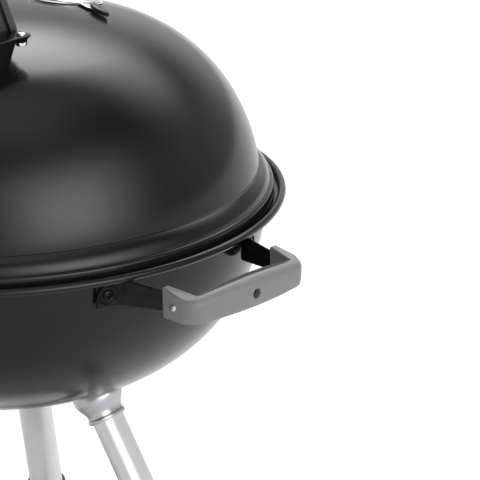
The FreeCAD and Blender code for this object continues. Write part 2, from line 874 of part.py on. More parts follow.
# ---------------------------------------------------------------- legs
def leg_frame(leg, down=0.0):
    """Placement on a leg's axis, Z pointing up along it and X leaning outwards.

    down is counted along the axis from where it passes under the bowl.
    """
    azimuth = math.radians(D["leg_azimuth"].value + LEGS[leg])
    splay = math.radians(D["leg_splay"].value)
    out = Vector(math.cos(azimuth), math.sin(azimuth), 0)
    way = out * math.sin(splay) - Vector(0, 0, 1) * math.cos(splay)
    start = out * D["leg_reach"].value
    start.z = (D["rim_height"] - D["leg_reach_drop"]).value
    spin = about((0, 0, 1), D["leg_azimuth"] + LEGS[leg])
    lean = about((0, 1, 0), -D["leg_splay"])
    return FreeCAD.Placement(start + way * down, spin.multiply(lean))


def on_leg(item, leg, down):
    item.Placement = leg_frame(leg, down)
    return item


def leg_down_to(height):
    """Distance along a leg from its reference point to where its axis reaches a height."""
    drop = (D["rim_height"] - D["leg_reach_drop"]).value - height
    return drop / math.cos(math.radians(D["leg_splay"].value))


def leg_radius_at(height):
    """Distance of a leg's axis from the kettle's axis at a height above the ground."""
    drop = (D["rim_height"] - D["leg_reach_drop"]).value - height
    return D["leg_reach"].value + drop * math.tan(math.radians(D["leg_splay"].value))


def leg_prism(leg, extra, bottom, top):
    """A flat oval along a leg, thicker than the tube by extra all round."""
    grow = sized(extra) * 2
    long = bottom - top
    return on_leg(grouped([flat_oval(D["leg_wide"] + grow, D["leg_deep"] + grow, long)]), leg, bottom)


def socket_bolt_frame(leg, back=0.0):
    """Placement of a socket's bolt on the bowl's inner face, Z pointing into the bowl."""
    azimuth = math.radians(D["leg_azimuth"].value + LEGS[leg])
    crown = D["bowl_crown_radius"].value
    lean = math.asin((D["leg_reach"].value - 7) / crown)
    middle = Vector(0, 0, (D["rim_height"] - D["bowl_depth"]).value + crown)
    way = Vector(math.cos(azimuth) * math.sin(lean), math.sin(azimuth) * math.sin(lean), -math.cos(lean))
    reach = crown - D["enamel_sheet"].value
    return FreeCAD.Placement(middle + way * (reach + back), towards(-way))


def socket_bores():
    tools = []
    for leg in LEGS:
        tool = cylinder(D["cheek_screw_radius"], 40)
        tool.Placement = socket_bolt_frame(leg, 25.0)
        tools.append(tool)
    return fuse(tools)


def make_leg(leg, bowl_form):
    above, long, web = (D[f"socket_{name}"].value for name in ("above", "long", "web"))
    tube_top = web - above
    wheeled = leg in WHEEL_LEGS
    end_height = D["leg_end_height"] if wheeled else D["foot_thick"]
    far = leg_down_to(-40.0)
    tube = cut(leg_prism(leg, 0, far, tube_top), leg_prism(leg, -D["leg_wall"], far + 5, tube_top - 5))
    below = placed(block(1200, 1200, 300), 0, 0, end_height - 300)
    tools = [below]
    if wheeled:
        tools.append(axle_rod(D["axle_radius"], 800))
    node(f"leg_{leg}", cut(tube, *tools))

    flange = revolved(
        [
            (0, -sized(16)),
            (20, -sized(16)),
            (D["socket_flange_radius"], 0, 34, -1),
            (D["socket_flange_radius"], 22),
            (0, 22),
        ]
    )
    flange = on_leg(grouped([flange]), leg, 4.0)
    collar = leg_prism(leg, D["socket_wall"], long - above, -above)
    lip = leg_prism(leg, D["socket_wall"] + D["socket_lip"], long - above, long - above - 4.0)
    bore = cylinder(D["cheek_screw_radius"], 40)
    bore.Placement = socket_bolt_frame(leg, 25.0)
    whole = cut(fuse([collar, flange, lip]), leg_prism(leg, 0, long, tube_top), bore, copy_of(bowl_form))
    node(f"leg_socket_{leg}", whole)


def make_socket_bolts():
    bolts = []
    for leg in LEGS:
        bolt = screw(D["cheek_screw_radius"], 16, 7.0, 4.0)
        bolt.Placement = socket_bolt_frame(leg, -D["bolt_seat"].value)
        bolts.append(bolt)
    node("leg_socket_bolts", grouped(bolts))


def make_foot():
    """A moulded cap on the end of the leg that has no wheel, flat on the ground."""
    far = leg_down_to(-40.0)
    outer = leg_prism("right", 3, far, leg_down_to(D["foot_high"].value))
    above_ground = placed(block(1200, 1200, 200), 0, 0, 0)
    tube_room = cut(
        leg_prism("right", 0, far, leg_down_to(120.0)),
        placed(block(1200, 1200, 300), 0, 0, D["foot_thick"] - 300),
    )
    node("leg_foot", cut(common(outer, above_ground), tube_room))


# ---------------------------------------------------------------- axle and wheels
def axle_line():
    """Middle of the axle, its direction from the back leg to the front leg and half the leg gap."""
    radius = leg_radius_at(D["wheel_radius"].value)
    points = []
    for leg in WHEEL_LEGS:
        azimuth = math.radians(D["leg_azimuth"].value + LEGS[leg])
        points.append(Vector(radius * math.cos(azimuth), radius * math.sin(azimuth), D["wheel_radius"].value))
    way = points[1] - points[0]
    half = way.Length / 2
    return (points[0] + points[1]) * 0.5, way.normalize(), half


def axle_rod(radius, long):
    """A rod of a radius centred on the axle's line."""
    middle, way, _ = axle_line()
    rod = cylinder(radius, long)
    rod.Placement = FreeCAD.Placement(middle - way * (sized(long).value / 2), towards(way))
    return rod


def on_axle(item, distance, side):
    """Put a turned piece on the axle, at a distance from its middle, facing outwards."""
    middle, way, _ = axle_line()
    item.Placement = FreeCAD.Placement(middle + way * (side * distance), towards(way * side))
    return item


def make_wheel(name, side, start):
    bore = D["axle_radius"] + D["running_gap"]
    rim, hub = D["wheel_rim_radius"], D["hub_radius"]
    wide, tyre, web = D["wheel_wide"], D["tyre_wide"], D["web_thick"]
    mid = wide / 2
    wheel = revolved(
        [
            (bore, 0),
            (hub, 0),
            (hub + 1, mid - web / 2),
            (rim - 7, mid - web / 2 + 3),
            (rim - 5, (wide - tyre) / 2),
            (rim, (wide - tyre) / 2),
            (rim, (wide + tyre) / 2),
            (rim - 5, (wide + tyre) / 2),
            (rim - 7, mid + web / 2 + 3),
            (hub + 1, mid + web / 2),
            (hub, wide),
            (bore, wide),
        ]
    )
    node(f"wheel_{name}", on_axle(wheel, start, side))
    shoulder = D["tyre_shoulder"]
    low, high = (wide - tyre) / 2, (wide + tyre) / 2
    radius = D["wheel_radius"]
    tread = revolved(
        [
            (rim, low),
            (radius - shoulder, low),
            (radius, low + shoulder, shoulder, 1),
            (radius, high - shoulder),
            (radius - shoulder, high, shoulder, 1),
            (rim, high),
        ]
    )
    node(f"wheel_{name}_tyre", on_axle(tread, start, side))


def make_running_gear():
    _, _, half = axle_line()
    leg_face = 16.0
    spacer_start = half + leg_face
    spacer = D["spacer_long"].value
    play = D["side_play"].value
    wheel_start = spacer_start + spacer + play
    cap_start = wheel_start + D["wheel_wide"].value + play
    spacers, caps = [], []
    for side in (-1, 1):
        ring = cut(cylinder(D["spacer_radius"], spacer), placed(cylinder(D["axle_radius"], 40), 0, 0, -5))
        spacers.append(on_axle(grouped([ring]), spacer_start, side))
        cap = revolved(
            [
                (0, 0),
                (D["cap_radius"], 0),
                (D["cap_radius"], D["cap_long"] * 0.55),
                (D["cap_radius"] * 0.5, D["cap_long"], D["cap_radius"], 1),
                (0, D["cap_long"]),
            ]
        )
        hollow = placed(cylinder(D["axle_radius"], 10), 0, 0, -2)
        caps.append(on_axle(grouped([cut(cap, hollow)]), cap_start, side))
    legs = fuse([leg_prism(leg, 0, leg_down_to(20.0), leg_down_to(160.0)) for leg in WHEEL_LEGS])
    node("axle_spacers", cut(grouped(spacers), legs))
    node("axle_caps", grouped(caps))
    node("axle", axle_rod(D["axle_radius"], 2 * (cap_start + 8)))
    make_wheel("back", -1, wheel_start)
    make_wheel("front", 1, wheel_start)


# ---------------------------------------------------------------- shelf, ash pan and their carriers
def clips(height):
    """Three collars round the legs at a height."""
    high = D["clip_high"].value
    middle = leg_down_to(height)
    rings = []
    for leg in LEGS:
        outer = leg_prism(leg, D["clip_wall"], middle + high / 2, middle - high / 2)
        rings.append(cut(outer, leg_prism(leg, 0, middle + high, middle - high)))
    return grouped(rings)


def clip_rooms(height):
    """The space that the three collars and the legs in them take, to trim what reaches them."""
    middle = leg_down_to(height)
    return fuse([leg_prism(leg, D["clip_wall"], middle + 60, middle - 60) for leg in LEGS])


def carrier(radius, height, extras=()):
    """A wire ring with three arms that reach the collars on the legs."""
    rod = D["ring_rod"]
    ring = placed(solid("Part::Torus", Radius1=radius, Radius2=rod), 0, 0, height)
    reach = leg_radius_at(sized(height).value)
    arms = []
    for leg in LEGS:
        azimuth = D["leg_azimuth"] + LEGS[leg]
        arm = cylinder(rod, reach - sized(radius).value + 2)
        way = (cosine(azimuth).value, sine(azimuth).value, 0)
        arm.Placement = FreeCAD.Placement(
            Vector(*way) * (sized(radius).value - 1) + Vector(0, 0, sized(height).value), towards(way)
        )
        arms.append(arm)
    trimmed = [cut(arm, clip_rooms(sized(height).value)) for arm in arms]
    return fuse([ring] + trimmed + list(extras), refine=False)


def parallel_rods(radius, rod, pitch, height, along="Y"):
    """Straight rods across a ring, evenly spaced, each as long as its chord."""
    count = int(radius.value / pitch.value - 0.25)
    rods = []
    for number in range(-count, count + 1):
        offset = pitch * number
        half = root(radius * radius - offset * offset)
        item = cylinder(rod, half * 2)
        if along == "Y":
            rods.append(placed(item, offset, -half, height, about((1, 0, 0), -90)))
        else:
            rods.append(placed(item, -half, offset, height, about((0, 1, 0), 90)))
    return rods


def make_shelf():
    height = D["shelf_height"]
    rods = parallel_rods(
        D["shelf_radius"], D["shelf_rod"], D["shelf_pitch"], height + D["ring_rod"] + D["shelf_rod"] - 1.0
    )
    brace = placed(
        cylinder(D["ring_rod"], D["shelf_radius"] * 2),
        -D["shelf_radius"],
        0,
        height,
        about((0, 1, 0), 90),
    )
    node("bottom_shelf", carrier(D["shelf_radius"], height, rods + [brace]))
    node("bottom_shelf_clips", clips(height.value))


def make_ash_pan():
    height = D["ash_ring_height"]
    node("ash_pan_ring", carrier(D["ash_ring_radius"], height))
    node("ash_pan_clips", clips(height.value))
    sheet = D["enamel_sheet"]
    top = height + D["ring_rod"] + D["body_gap"]
    floor = top - D["ash_deep"]
    wall, flat, rim = D["ash_wall_radius"], D["ash_floor_radius"], D["ash_ring_radius"] + 6
    pan = revolved(
        [
            (0, floor),
            (flat, floor),
            (wall, top),
            (rim, top),
            (rim, top + sheet * 2),
            (wall - sheet, top + sheet * 2),
            (flat - sheet, floor + sheet),
            (0, floor + sheet),
        ]
    )
    node("ash_pan", pan)


# ---------------------------------------------------------------- grates
def grate(radius, drop, rod, ring_rod, pitch, loops=False):
    """A ring with rods across it, two cross bars below and, on the top one, two lifting loops."""
    height = D["rim_height"] - drop
    ring = placed(solid("Part::Torus", Radius1=radius, Radius2=ring_rod), 0, 0, height)
    top = height + ring_rod * 0.6
    pieces = [ring] + parallel_rods(radius, rod, pitch, top)
    for sign in (-1, 1):
        offset = radius * 0.5 * sign
        half = root(radius * radius - offset * offset)
        bar = cylinder(ring_rod, half * 2)
        pieces.append(placed(bar, -half, offset, height - ring_rod * 0.4, about((0, 1, 0), 90)))
    if loops:
        for sign in (-1, 1):
            loop = solid("Part::Torus", Radius1=D["loop_radius"], Radius2=rod)
            room = placed(block(200, 200, 60), 0, 0, height - 60)
            arch = cut(placed(loop, 0, sign * (radius - 4), height, about((1, 0, 0), 90)), room)
            pieces.append(arch)
    return fuse(pieces, refine=False)


def rests(room, drop, ring_radius, ring_rod):
    """Four tabs on the bowl's inner wall that carry a grate's ring."""
    top = D["rim_height"] - drop - ring_rod - D["body_gap"]
    tabs = []
    for azimuth in (45, 135, 225, 315):
        way = (cosine(azimuth), sine(azimuth))
        middle = ring_radius - D["rest_reach"] + 25
        plate = placed(
            block(50, D["rest_wide"], D["rest_thick"]),
            way[0] * middle,
            way[1] * middle,
            top - D["rest_thick"],
            about((0, 0, 1), azimuth),
        )
        tabs.append(common(plate, copy_of(room)))
    return grouped(tabs)


def make_grates(room):
    node(
        "cooking_grate",
        grate(
            D["cooking_radius"],
            D["cooking_drop"],
            D["cooking_rod"],
            D["cooking_ring_rod"],
            D["cooking_pitch"],
            loops=True,
        ),
    )
    node(
        "cooking_grate_rests",
        rests(room, D["cooking_drop"], D["cooking_radius"], D["cooking_ring_rod"] * 1.4),
    )
    node(
        "charcoal_grate",
        grate(
            D["charcoal_radius"],
            D["charcoal_drop"],
            D["charcoal_rod"],
            D["charcoal_ring_rod"],
            D["charcoal_pitch"],
        ),
    )
    node(
        "charcoal_grate_rests",
        rests(room, D["charcoal_drop"], D["charcoal_radius"], D["charcoal_ring_rod"] * 1.4),
    )


# ---------------------------------------------------------------- ash sweeper in the bowl's bottom
def make_sweeper():
    """Three blades that turn over the bowl's bottom slots, on a shaft with a lever outside."""
    crown, sheet = D["bowl_crown_radius"], D["enamel_sheet"]
    middle = D["rim_height"] - D["bowl_depth"] + crown
    outer = crown - sheet - D["body_gap"]
    edge = sized(100)
    drop = root(outer * outer - edge * edge)
    inner = outer - 1.5
    inner_drop = root(inner * inner - edge * edge)
    skin = revolved(
        [
            (0, middle - outer),
            (edge, middle - drop, outer, 1),
            (edge, middle - inner_drop),
            (0, middle - inner, inner, -1),
        ]
    )
    base = D["rim_height"] - D["bowl_depth"] - 5
    long = D["blade_outer"] - D["blade_inner"]
    reach = (D["blade_outer"] + D["blade_inner"]) / 2
    plans = [
        placed(
            flat_oval(long, D["blade_wide"], 50),
            reach * cosine(azimuth),
            reach * sine(azimuth),
            base,
            about((0, 0, 1), azimuth + 90),
        )
        for azimuth in (0, 120, 240)
    ]
    plans.append(placed(cylinder(D["blade_hub"], 50), 0, 0, base))
    bore = placed(cylinder(D["shaft_radius"], 60), 0, 0, base - 5)
    node("ash_sweeper_blades", cut(common(skin, fuse(plans)), bore))
    bottom = D["rim_height"] - D["lever_drop"]
    shaft = placed(cylinder(D["shaft_radius"], D["lever_drop"] - D["bowl_depth"] + 12), 0, 0, bottom)
    washer = cut(
        placed(cylinder(9, 2), 0, 0, bottom + D["lever_drop"] - D["bowl_depth"] + sheet + 2.4),
        placed(cylinder(D["shaft_radius"], 60), 0, 0, bottom),
    )
    node("ash_sweeper_shaft", shaft)
    node("ash_sweeper_nut", washer)
    azimuth = D["lever_azimuth"]
    arm_long = D["lever_long"]
    arm = placed(
        block(arm_long, D["lever_wide"], D["lever_thick"]),
        arm_long / 2 * cosine(azimuth),
        arm_long / 2 * sine(azimuth),
        bottom,
        about((0, 0, 1), azimuth),
    )
    eye = placed(cylinder(11, D["lever_thick"]), 0, 0, bottom)
    way = (cosine(azimuth).value, sine(azimuth).value, 0)
    knob = cylinder(D["knob_radius"], D["knob_long"])
    start = Vector(*way) * (arm_long.value - 14) + Vector(0, 0, (bottom + D["lever_thick"] / 2).value)
    knob.Placement = FreeCAD.Placement(start, towards(way))
    lever = fuse([arm, eye])
    hole = placed(cylinder(D["shaft_radius"], 20), 0, 0, bottom - 5)
    node("ash_sweeper_lever", cut(lever, hole))
    node("ash_sweeper_knob", cut(knob, copy_of(lever)))


# ---------------------------------------------------------------- the whole grill
def make_grill():
    bowl_form, bowl_room = make_bowl_form(), make_bowl_room()
    make_bowl(fuse([foot_bores(), socket_bores()]))
    make_lid()
    make_lid_vent()
    make_lid_handle(make_lid_form())
    for name, side in SIDES.items():
        make_side_handle(name, side, bowl_form)
    for leg in LEGS:
        make_leg(leg, bowl_form)
    make_socket_bolts()
    make_foot()
    make_running_gear()
    make_shelf()
    make_ash_pan()
    make_grates(bowl_room)
    make_sweeper()


def check_and_write():
    DOC.recompute()
    failed = [item.Label for item in DOC.Objects if {"Invalid", "Error"} & set(item.State)]
    for item in NODES:
        if item.Shape.isNull() or not item.Shape.isValid() or not item.Shape.Solids:
            failed.append(item.Label)
    if failed:
        raise SystemExit(f"these did not build: {sorted(set(failed))}")
    os.makedirs("parts", exist_ok=True)
    for item in NODES:
        item.Shape.exportStep(f"parts/{item.Label}.step")
        print(item.Label, len(item.Shape.Solids), round(item.Shape.Volume / 1000.0, 1), "cm3")


make_grill()
check_and_write()
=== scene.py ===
import math

import bmesh
import bpy
from mathutils import Matrix, Vector


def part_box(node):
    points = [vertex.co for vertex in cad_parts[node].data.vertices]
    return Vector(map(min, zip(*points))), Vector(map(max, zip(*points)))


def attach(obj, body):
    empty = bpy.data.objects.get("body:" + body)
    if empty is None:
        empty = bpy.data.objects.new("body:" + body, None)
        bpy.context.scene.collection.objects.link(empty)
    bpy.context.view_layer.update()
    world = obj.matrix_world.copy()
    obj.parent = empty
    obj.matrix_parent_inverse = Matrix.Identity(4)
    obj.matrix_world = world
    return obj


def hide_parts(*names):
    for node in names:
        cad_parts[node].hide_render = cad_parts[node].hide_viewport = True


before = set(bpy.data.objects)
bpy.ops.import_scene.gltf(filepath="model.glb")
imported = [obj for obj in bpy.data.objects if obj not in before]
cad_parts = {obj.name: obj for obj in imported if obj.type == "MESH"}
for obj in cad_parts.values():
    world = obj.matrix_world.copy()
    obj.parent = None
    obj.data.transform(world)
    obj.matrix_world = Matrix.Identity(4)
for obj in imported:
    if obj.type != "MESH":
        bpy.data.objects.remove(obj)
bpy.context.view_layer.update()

# Lengths are in millimetres and become metres in add_mesh. The kettle is drawn about its own
# upright axis, with Z = 0 on the ground; AXIS is where that axis stands in the row's frame.
MM = 0.001
BOWL_LOW, BOWL_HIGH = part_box("bowl")
AXIS = Vector(((BOWL_LOW[0] + BOWL_HIGH[0]) / 2, (BOWL_LOW[1] + BOWL_HIGH[1]) / 2, 0))
BEAD = 4.0
RIM = BOWL_HIGH[2] / MM - BEAD
RIM_RADIUS = (BOWL_HIGH[0] - BOWL_LOW[0]) / 2 / MM
SHEET = 1.2


# ---------------------------------------------------------------- camera
# The camera looks at the kettle from its right front. TURN is the angle from the camera's own
# level axes to the row's, the rest is its distance, height and aim, and the lens on a 36 mm film.
CAMERA_DISTANCE = 3200.0
CAMERA_ELEVATION = math.radians(18.686)
CAMERA_TURN = math.radians(49.33)
CAMERA_YAW = math.radians(4.231)
CAMERA_PITCH = math.radians(-1.039)
CAMERA_ROLL = math.radians(-1.704)
CAMERA_LENS = 239.0


def make_camera():
    spot = Vector((0, -math.cos(CAMERA_ELEVATION), math.sin(CAMERA_ELEVATION))) * CAMERA_DISTANCE
    ahead = -spot.normalized()
    side = Vector((1, 0, 0))
    above = side.cross(ahead)
    aim = ahead * math.cos(CAMERA_YAW) * math.cos(CAMERA_PITCH)
    aim += side * math.sin(CAMERA_YAW) * math.cos(CAMERA_PITCH) + above * math.sin(CAMERA_PITCH)
    level = aim.cross(Vector((0, 0, 1))).normalized()
    up = level.cross(aim)
    right = level * math.cos(CAMERA_ROLL) + up * math.sin(CAMERA_ROLL)
    top = up * math.cos(CAMERA_ROLL) - level * math.sin(CAMERA_ROLL)
    turn = Matrix.Rotation(CAMERA_TURN, 3, "Z")
    basis = Matrix((turn @ right, turn @ top, turn @ -aim)).transposed()
    data = bpy.data.cameras.new("camera")
    data.sensor_width = 36.0
    data.lens = CAMERA_LENS
    data.clip_end = 50.0
    camera = bpy.data.objects.new("camera", data)
    place = turn @ spot * MM + AXIS + Vector((0, 0, RIM * MM))
    camera.matrix_world = Matrix.Translation(place) @ basis.to_4x4()
    bpy.context.scene.collection.objects.link(camera)
    bpy.context.scene.camera = camera


# ---------------------------------------------------------------- mesh tools
def add_mesh(name, points, faces, smooth=35.0):
    """A mesh object from points in millimetres about the kettle's axis."""
    mesh = bpy.data.meshes.new(name)
    mesh.from_pydata([tuple(Vector(point) * MM + AXIS) for point in points], [], faces)
    item = bpy.data.objects.new(name, mesh)
    bpy.context.scene.collection.objects.link(item)
    tidy_mesh(item, smooth)
    return item


def tidy_mesh(item, smooth=35.0):
    """Merge doubles, turn the normals outwards and keep edges sharper than an angle."""
    work = bmesh.new()
    work.from_mesh(item.data)
    bmesh.ops.remove_doubles(work, verts=work.verts, dist=1e-6)
    bmesh.ops.recalc_face_normals(work, faces=work.faces)
    work.to_mesh(item.data)
    work.free()
    item.data.polygons.foreach_set("use_smooth", [True] * len(item.data.polygons))
    item.data.set_sharp_from_angle(angle=math.radians(smooth))


def join_meshes(name, items):
    """One object from several."""
    work = bmesh.new()
    for item in items:
        work.from_mesh(item.data)
    mesh = bpy.data.meshes.new(name)
    work.to_mesh(mesh)
    work.free()
    whole = bpy.data.objects.new(name, mesh)
    bpy.context.scene.collection.objects.link(whole)
    for item in items:
        bpy.data.objects.remove(item)
    mesh.set_sharp_from_angle(angle=math.radians(35))
    return whole


def apply_modifiers(item):
    """Bake an object's modifiers into its mesh."""
    mesh = bpy.data.meshes.new_from_object(item.evaluated_get(bpy.context.evaluated_depsgraph_get()))
    item.modifiers.clear()
    item.data = mesh


def carve(item, tools, smooth=35.0):
    """Cut closed tool objects out of an object and remove the tools."""
    for tool in tools:
        cutter = item.modifiers.new("cut", "BOOLEAN")
        cutter.operation = "DIFFERENCE"
        cutter.solver = "EXACT"
        cutter.object = tool
    bpy.context.view_layer.update()
    apply_modifiers(item)
    for tool in tools:
        bpy.data.objects.remove(tool)
    item.data.set_sharp_from_angle(angle=math.radians(smooth))
    return item


def arc(centre, radius, start, end, steps):
    """Points along a round stretch, angles in degrees from the first axis."""
    angles = [math.radians(start + (end - start) * i / steps) for i in range(steps + 1)]
    return [(centre[0] + radius * math.cos(a), centre[1] + radius * math.sin(a)) for a in angles]


def turned(name, profile, place=None, segments=96, smooth=35.0, wave=None):
    """A solid of revolution from a closed profile of (radius, height), set by a placement."""
    place = place or Matrix()
    points, rings = [], []
    for radius, height in profile:
        if radius < 1e-6:
            rings.append([len(points)])
            points.append(place @ Vector((0, 0, height)))
            continue
        rings.append(list(range(len(points), len(points) + segments)))
        for k in range(segments):
            angle = 2 * math.pi * k / segments
            reach = radius if wave is None else wave(radius, height, angle)
            points.append(place @ Vector((reach * math.cos(angle), reach * math.sin(angle), height)))
    faces = []
    for one, two in zip(rings, rings[1:] + rings[:1]):
        for k in range(segments):
            after = (k + 1) % segments
            if len(one) == 1 and len(two) == 1:
                continue
            if len(one) == 1:
                faces.append((one[0], two[k], two[after]))
            elif len(two) == 1:
                faces.append((one[k], one[after], two[0]))
            else:
                faces.append((one[k], one[after], two[after], two[k]))
    return add_mesh(name, points, faces, smooth)


def lofted(name, rings, smooth=35.0, closed=False):
    """A skin over rings of equal counts of points, capped at both ends unless it closes on itself."""
    points = [point for ring in rings for point in ring]
    count = len(rings[0])
    faces = []
    last = len(rings) if closed else len(rings) - 1
    for i in range(last):
        a, b = i * count, ((i + 1) % len(rings)) * count
        for k in range(count):
            j = (k + 1) % count
            faces.append((a + k, a + j, b + j, b + k))
    if not closed:
        faces.append(tuple(range(count))[::-1])
        faces.append(tuple(range((len(rings) - 1) * count, len(rings) * count)))
    return add_mesh(name, points, faces, smooth)


def moved_in(outline, distance):
    """A closed outline of (x, y), counter-clockwise, moved inwards along its normals."""
    moved = []
    count = len(outline)
    for i in range(count):
        before = Vector(outline[i]) - Vector(outline[i - 1])
        after = Vector(outline[(i + 1) % count]) - Vector(outline[i])
        ways = [Vector((-way.y, way.x)).normalized() for way in (before, after)]
        mitre = (ways[0] + ways[1]).normalized()
        shift = distance / max(0.5, mitre.dot(ways[0]))
        moved.append(Vector(outline[i]) + mitre * shift)
    return moved


def slab(name, outline, low, high, edge, place=None, steps=4, smooth=40.0):
    """A plate between two heights from a counter-clockwise outline, its edges rounded."""
    place = place or Matrix()
    levels = [(low + edge - edge * math.cos(t), edge - edge * math.sin(t)) for t in quarter(steps)]
    levels += [(high - edge + edge * math.sin(t), edge - edge * math.cos(t)) for t in quarter(steps)]
    rings = []
    for height, inset in levels:
        rings.append([place @ Vector((x, y, height)) for x, y in moved_in(outline, inset)])
    return lofted(name, rings, smooth)


def quarter(steps):
    return [math.pi / 2 * i / steps for i in range(steps + 1)]


def oval(wide, deep, steps=12):
    """Counter-clockwise outline of a flat oval, the long way along Y."""
    radius = deep / 2
    half = wide / 2 - radius
    return arc((0, half), radius, 0, 180, steps) + arc((0, -half), radius, 180, 360, steps)


def circle(radius, steps=32, centre=(0, 0)):
    return arc(centre, radius, 0, 360, steps)[:-1]


def swept(name, path, radius, steps=12, closed=False):
    """A round wire along a path of points."""
    path = [Vector(point) for point in path]
    count = len(path)
    rings = []
    up = Vector((0, 0, 1))
    for i, point in enumerate(path):
        if closed:
            way = (path[(i + 1) % count] - path[i - 1]).normalized()
        else:
            way = (path[min(i + 1, count - 1)] - path[max(i - 1, 0)]).normalized()
        side = way.cross(up if abs(way.z) < 0.95 else Vector((1, 0, 0))).normalized()
        other = side.cross(way)
        ring = []
        for k in range(steps):
            angle = 2 * math.pi * k / steps
            ring.append(point + (side * math.cos(angle) + other * math.sin(angle)) * radius)
        rings.append(ring)
    return lofted(name, rings, 50, closed)


def finish_piece(item, body, material, slot, *nodes):
    """Give a piece its material and its body, and hide the CAD nodes that it stands for."""
    item.data.materials.clear()
    item.data.materials.append(material)
    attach(item, body)
    if nodes:
        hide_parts(*nodes)
    return item


# ---------------------------------------------------------------- materials
BUMP_DEPTH = 0.0006
GRAINS_PER_CLOUD = 16


def surface(name, colour, rough, metal=0.0, grain=400.0, bump=0.05, tint=0.12, spread=0.06,
            stretch=(1, 1, 1), ior=1.5):
    """A procedural finish: fine grain for bump, broad clouds for colour and roughness.

    grain is in cycles per metre, tint is the share by which colour varies, spread the amount by
    which roughness does, and stretch draws the grain out along an axis, as drawing a tube does.
    """
    material = bpy.data.materials.new(name)
    material.use_nodes = True
    nodes, links = material.node_tree.nodes, material.node_tree.links
    shader = nodes["Principled BSDF"]
    shader.inputs["Metallic"].default_value = metal
    shader.inputs["IOR"].default_value = ior
    place = nodes.new("ShaderNodeTexCoord")
    scale = nodes.new("ShaderNodeMapping")
    scale.inputs["Scale"].default_value = stretch
    links.new(place.outputs["Object"], scale.inputs["Vector"])
    fine = noise(nodes, links, scale, grain, 3)
    broad = noise(nodes, links, scale, grain / GRAINS_PER_CLOUD, 4)
    mix = nodes.new("ShaderNodeMix")
    mix.data_type = "RGBA"
    mix.inputs["A"].default_value = [c * (1 - tint) for c in colour] + [1]
    mix.inputs["B"].default_value = [min(1, c * (1 + tint)) for c in colour] + [1]
    links.new(broad.outputs["Fac"], mix.inputs["Factor"])
    links.new(mix.outputs["Result"], shader.inputs["Base Color"])
    ramp = nodes.new("ShaderNodeMapRange")
    ramp.inputs["To Min"].default_value = max(0.02, rough - spread)
    ramp.inputs["To Max"].default_value = rough + spread
    links.new(broad.outputs["Fac"], ramp.inputs["Value"])
    links.new(ramp.outputs["Result"], shader.inputs["Roughness"])
    height = nodes.new("ShaderNodeBump")
    height.inputs["Strength"].default_value = bump
    height.inputs["Distance"].default_value = BUMP_DEPTH
    links.new(fine.outputs["Fac"], height.inputs["Height"])
    links.new(height.outputs["Normal"], shader.inputs["Normal"])
    return material


def noise(nodes, links, source, scale, detail):
    texture = nodes.new("ShaderNodeTexNoise")
    texture.inputs["Scale"].default_value = scale
    texture.inputs["Detail"].default_value = detail
    links.new(source.outputs["Vector"], texture.inputs["Vector"])
    return texture


ENAMEL = surface(
    "black_enamel", (0.005, 0.005, 0.0055), 0.2, grain=160, bump=0.012, tint=0.1, spread=0.02, ior=1.33)
BLACK_STEEL = surface("black_steel", (0.004, 0.004, 0.0045), 0.22, grain=900, bump=0.12, ior=1.22)
GREY_GRIP = surface("grey_grip", (0.135, 0.135, 0.138), 0.42, grain=2600, bump=0.35, tint=0.05)
DARK_GRIP = surface("dark_grip", (0.02, 0.02, 0.021), 0.38, grain=2400, bump=0.3)
CHROME = surface("vent_chrome", (0.78, 0.78, 0.79), 0.14, metal=1.0, grain=1200, bump=0.05, tint=0.04)
ZINC = surface("zinc_steel", (0.6, 0.6, 0.59), 0.28, metal=1.0, grain=2000, bump=0.15)
CAST = surface("cast_aluminium", (0.4, 0.4, 0.41), 0.32, metal=0.85, grain=1500, bump=0.22, tint=0.08)
LEG_TUBE = surface(
    "leg_aluminium", (0.55, 0.55, 0.56), 0.36, metal=0.5, grain=1800, bump=0.06, tint=0.03,
    stretch=(1, 1, 0.04))
BLACK_PLASTIC = surface("black_plastic", (0.02, 0.02, 0.021), 0.42, grain=1800, bump=0.25)
RUBBER = surface("tyre_rubber", (0.025, 0.025, 0.025), 0.62, grain=2200, bump=0.5)
GRATE = surface("grate_chrome", (0.62, 0.62, 0.62), 0.24, metal=1.0, grain=1500, bump=0.12)
RAW_STEEL = surface("raw_steel", (0.34, 0.33, 0.32), 0.42, metal=1.0, grain=700, bump=0.3, tint=0.2)
PAN = surface("pan_aluminium", (0.62, 0.62, 0.63), 0.34, metal=1.0, grain=900, bump=0.15)


# ---------------------------------------------------------------- kettle profiles
# Each dome is a crown, a shoulder and a wall, three arcs that meet in line.
LID = {"height": 195.75, "radii": (444.0, 163.0, 194.0), "angles": (19.6, 62.7, 82.4)}
BOWL = {"height": 199.3, "radii": (406.0, 179.4, 230.6), "angles": (21.8, 67.5, 81.6)}


def dome_arcs(dome, inset, steps=36):
    """The dome's profile from the apex down to the wall's end, counted from the rim plane."""
    start, height = 0.0, dome["height"] - dome["radii"][0]
    reach, points = 0.0, []
    for i, (radius, end) in enumerate(zip(dome["radii"], dome["angles"])):
        if i:
            shift = dome["radii"][i - 1] - radius
            reach += shift * math.sin(math.radians(start))
            height += shift * math.cos(math.radians(start))
        for k in range(0 if i == 0 else 1, steps + 1):
            angle = math.radians(start + (end - start) * k / steps)
            face = radius - inset
            points.append((reach + face * math.sin(angle), height + face * math.cos(angle)))
        start = end
    return points


def lid_surface(x, y):
    """Height above the ground of the lid's outer face over a point near the crown."""
    crown = LID["radii"][0]
    return RIM + LID["height"] - crown + math.sqrt(crown * crown - x * x - y * y)


def bowl_surface(x, y):
    """Height above the ground of the bowl's outer face under a point near the bottom."""
    crown = BOWL["radii"][0]
    return RIM - BOWL["height"] + crown - math.sqrt(crown * crown - x * x - y * y)


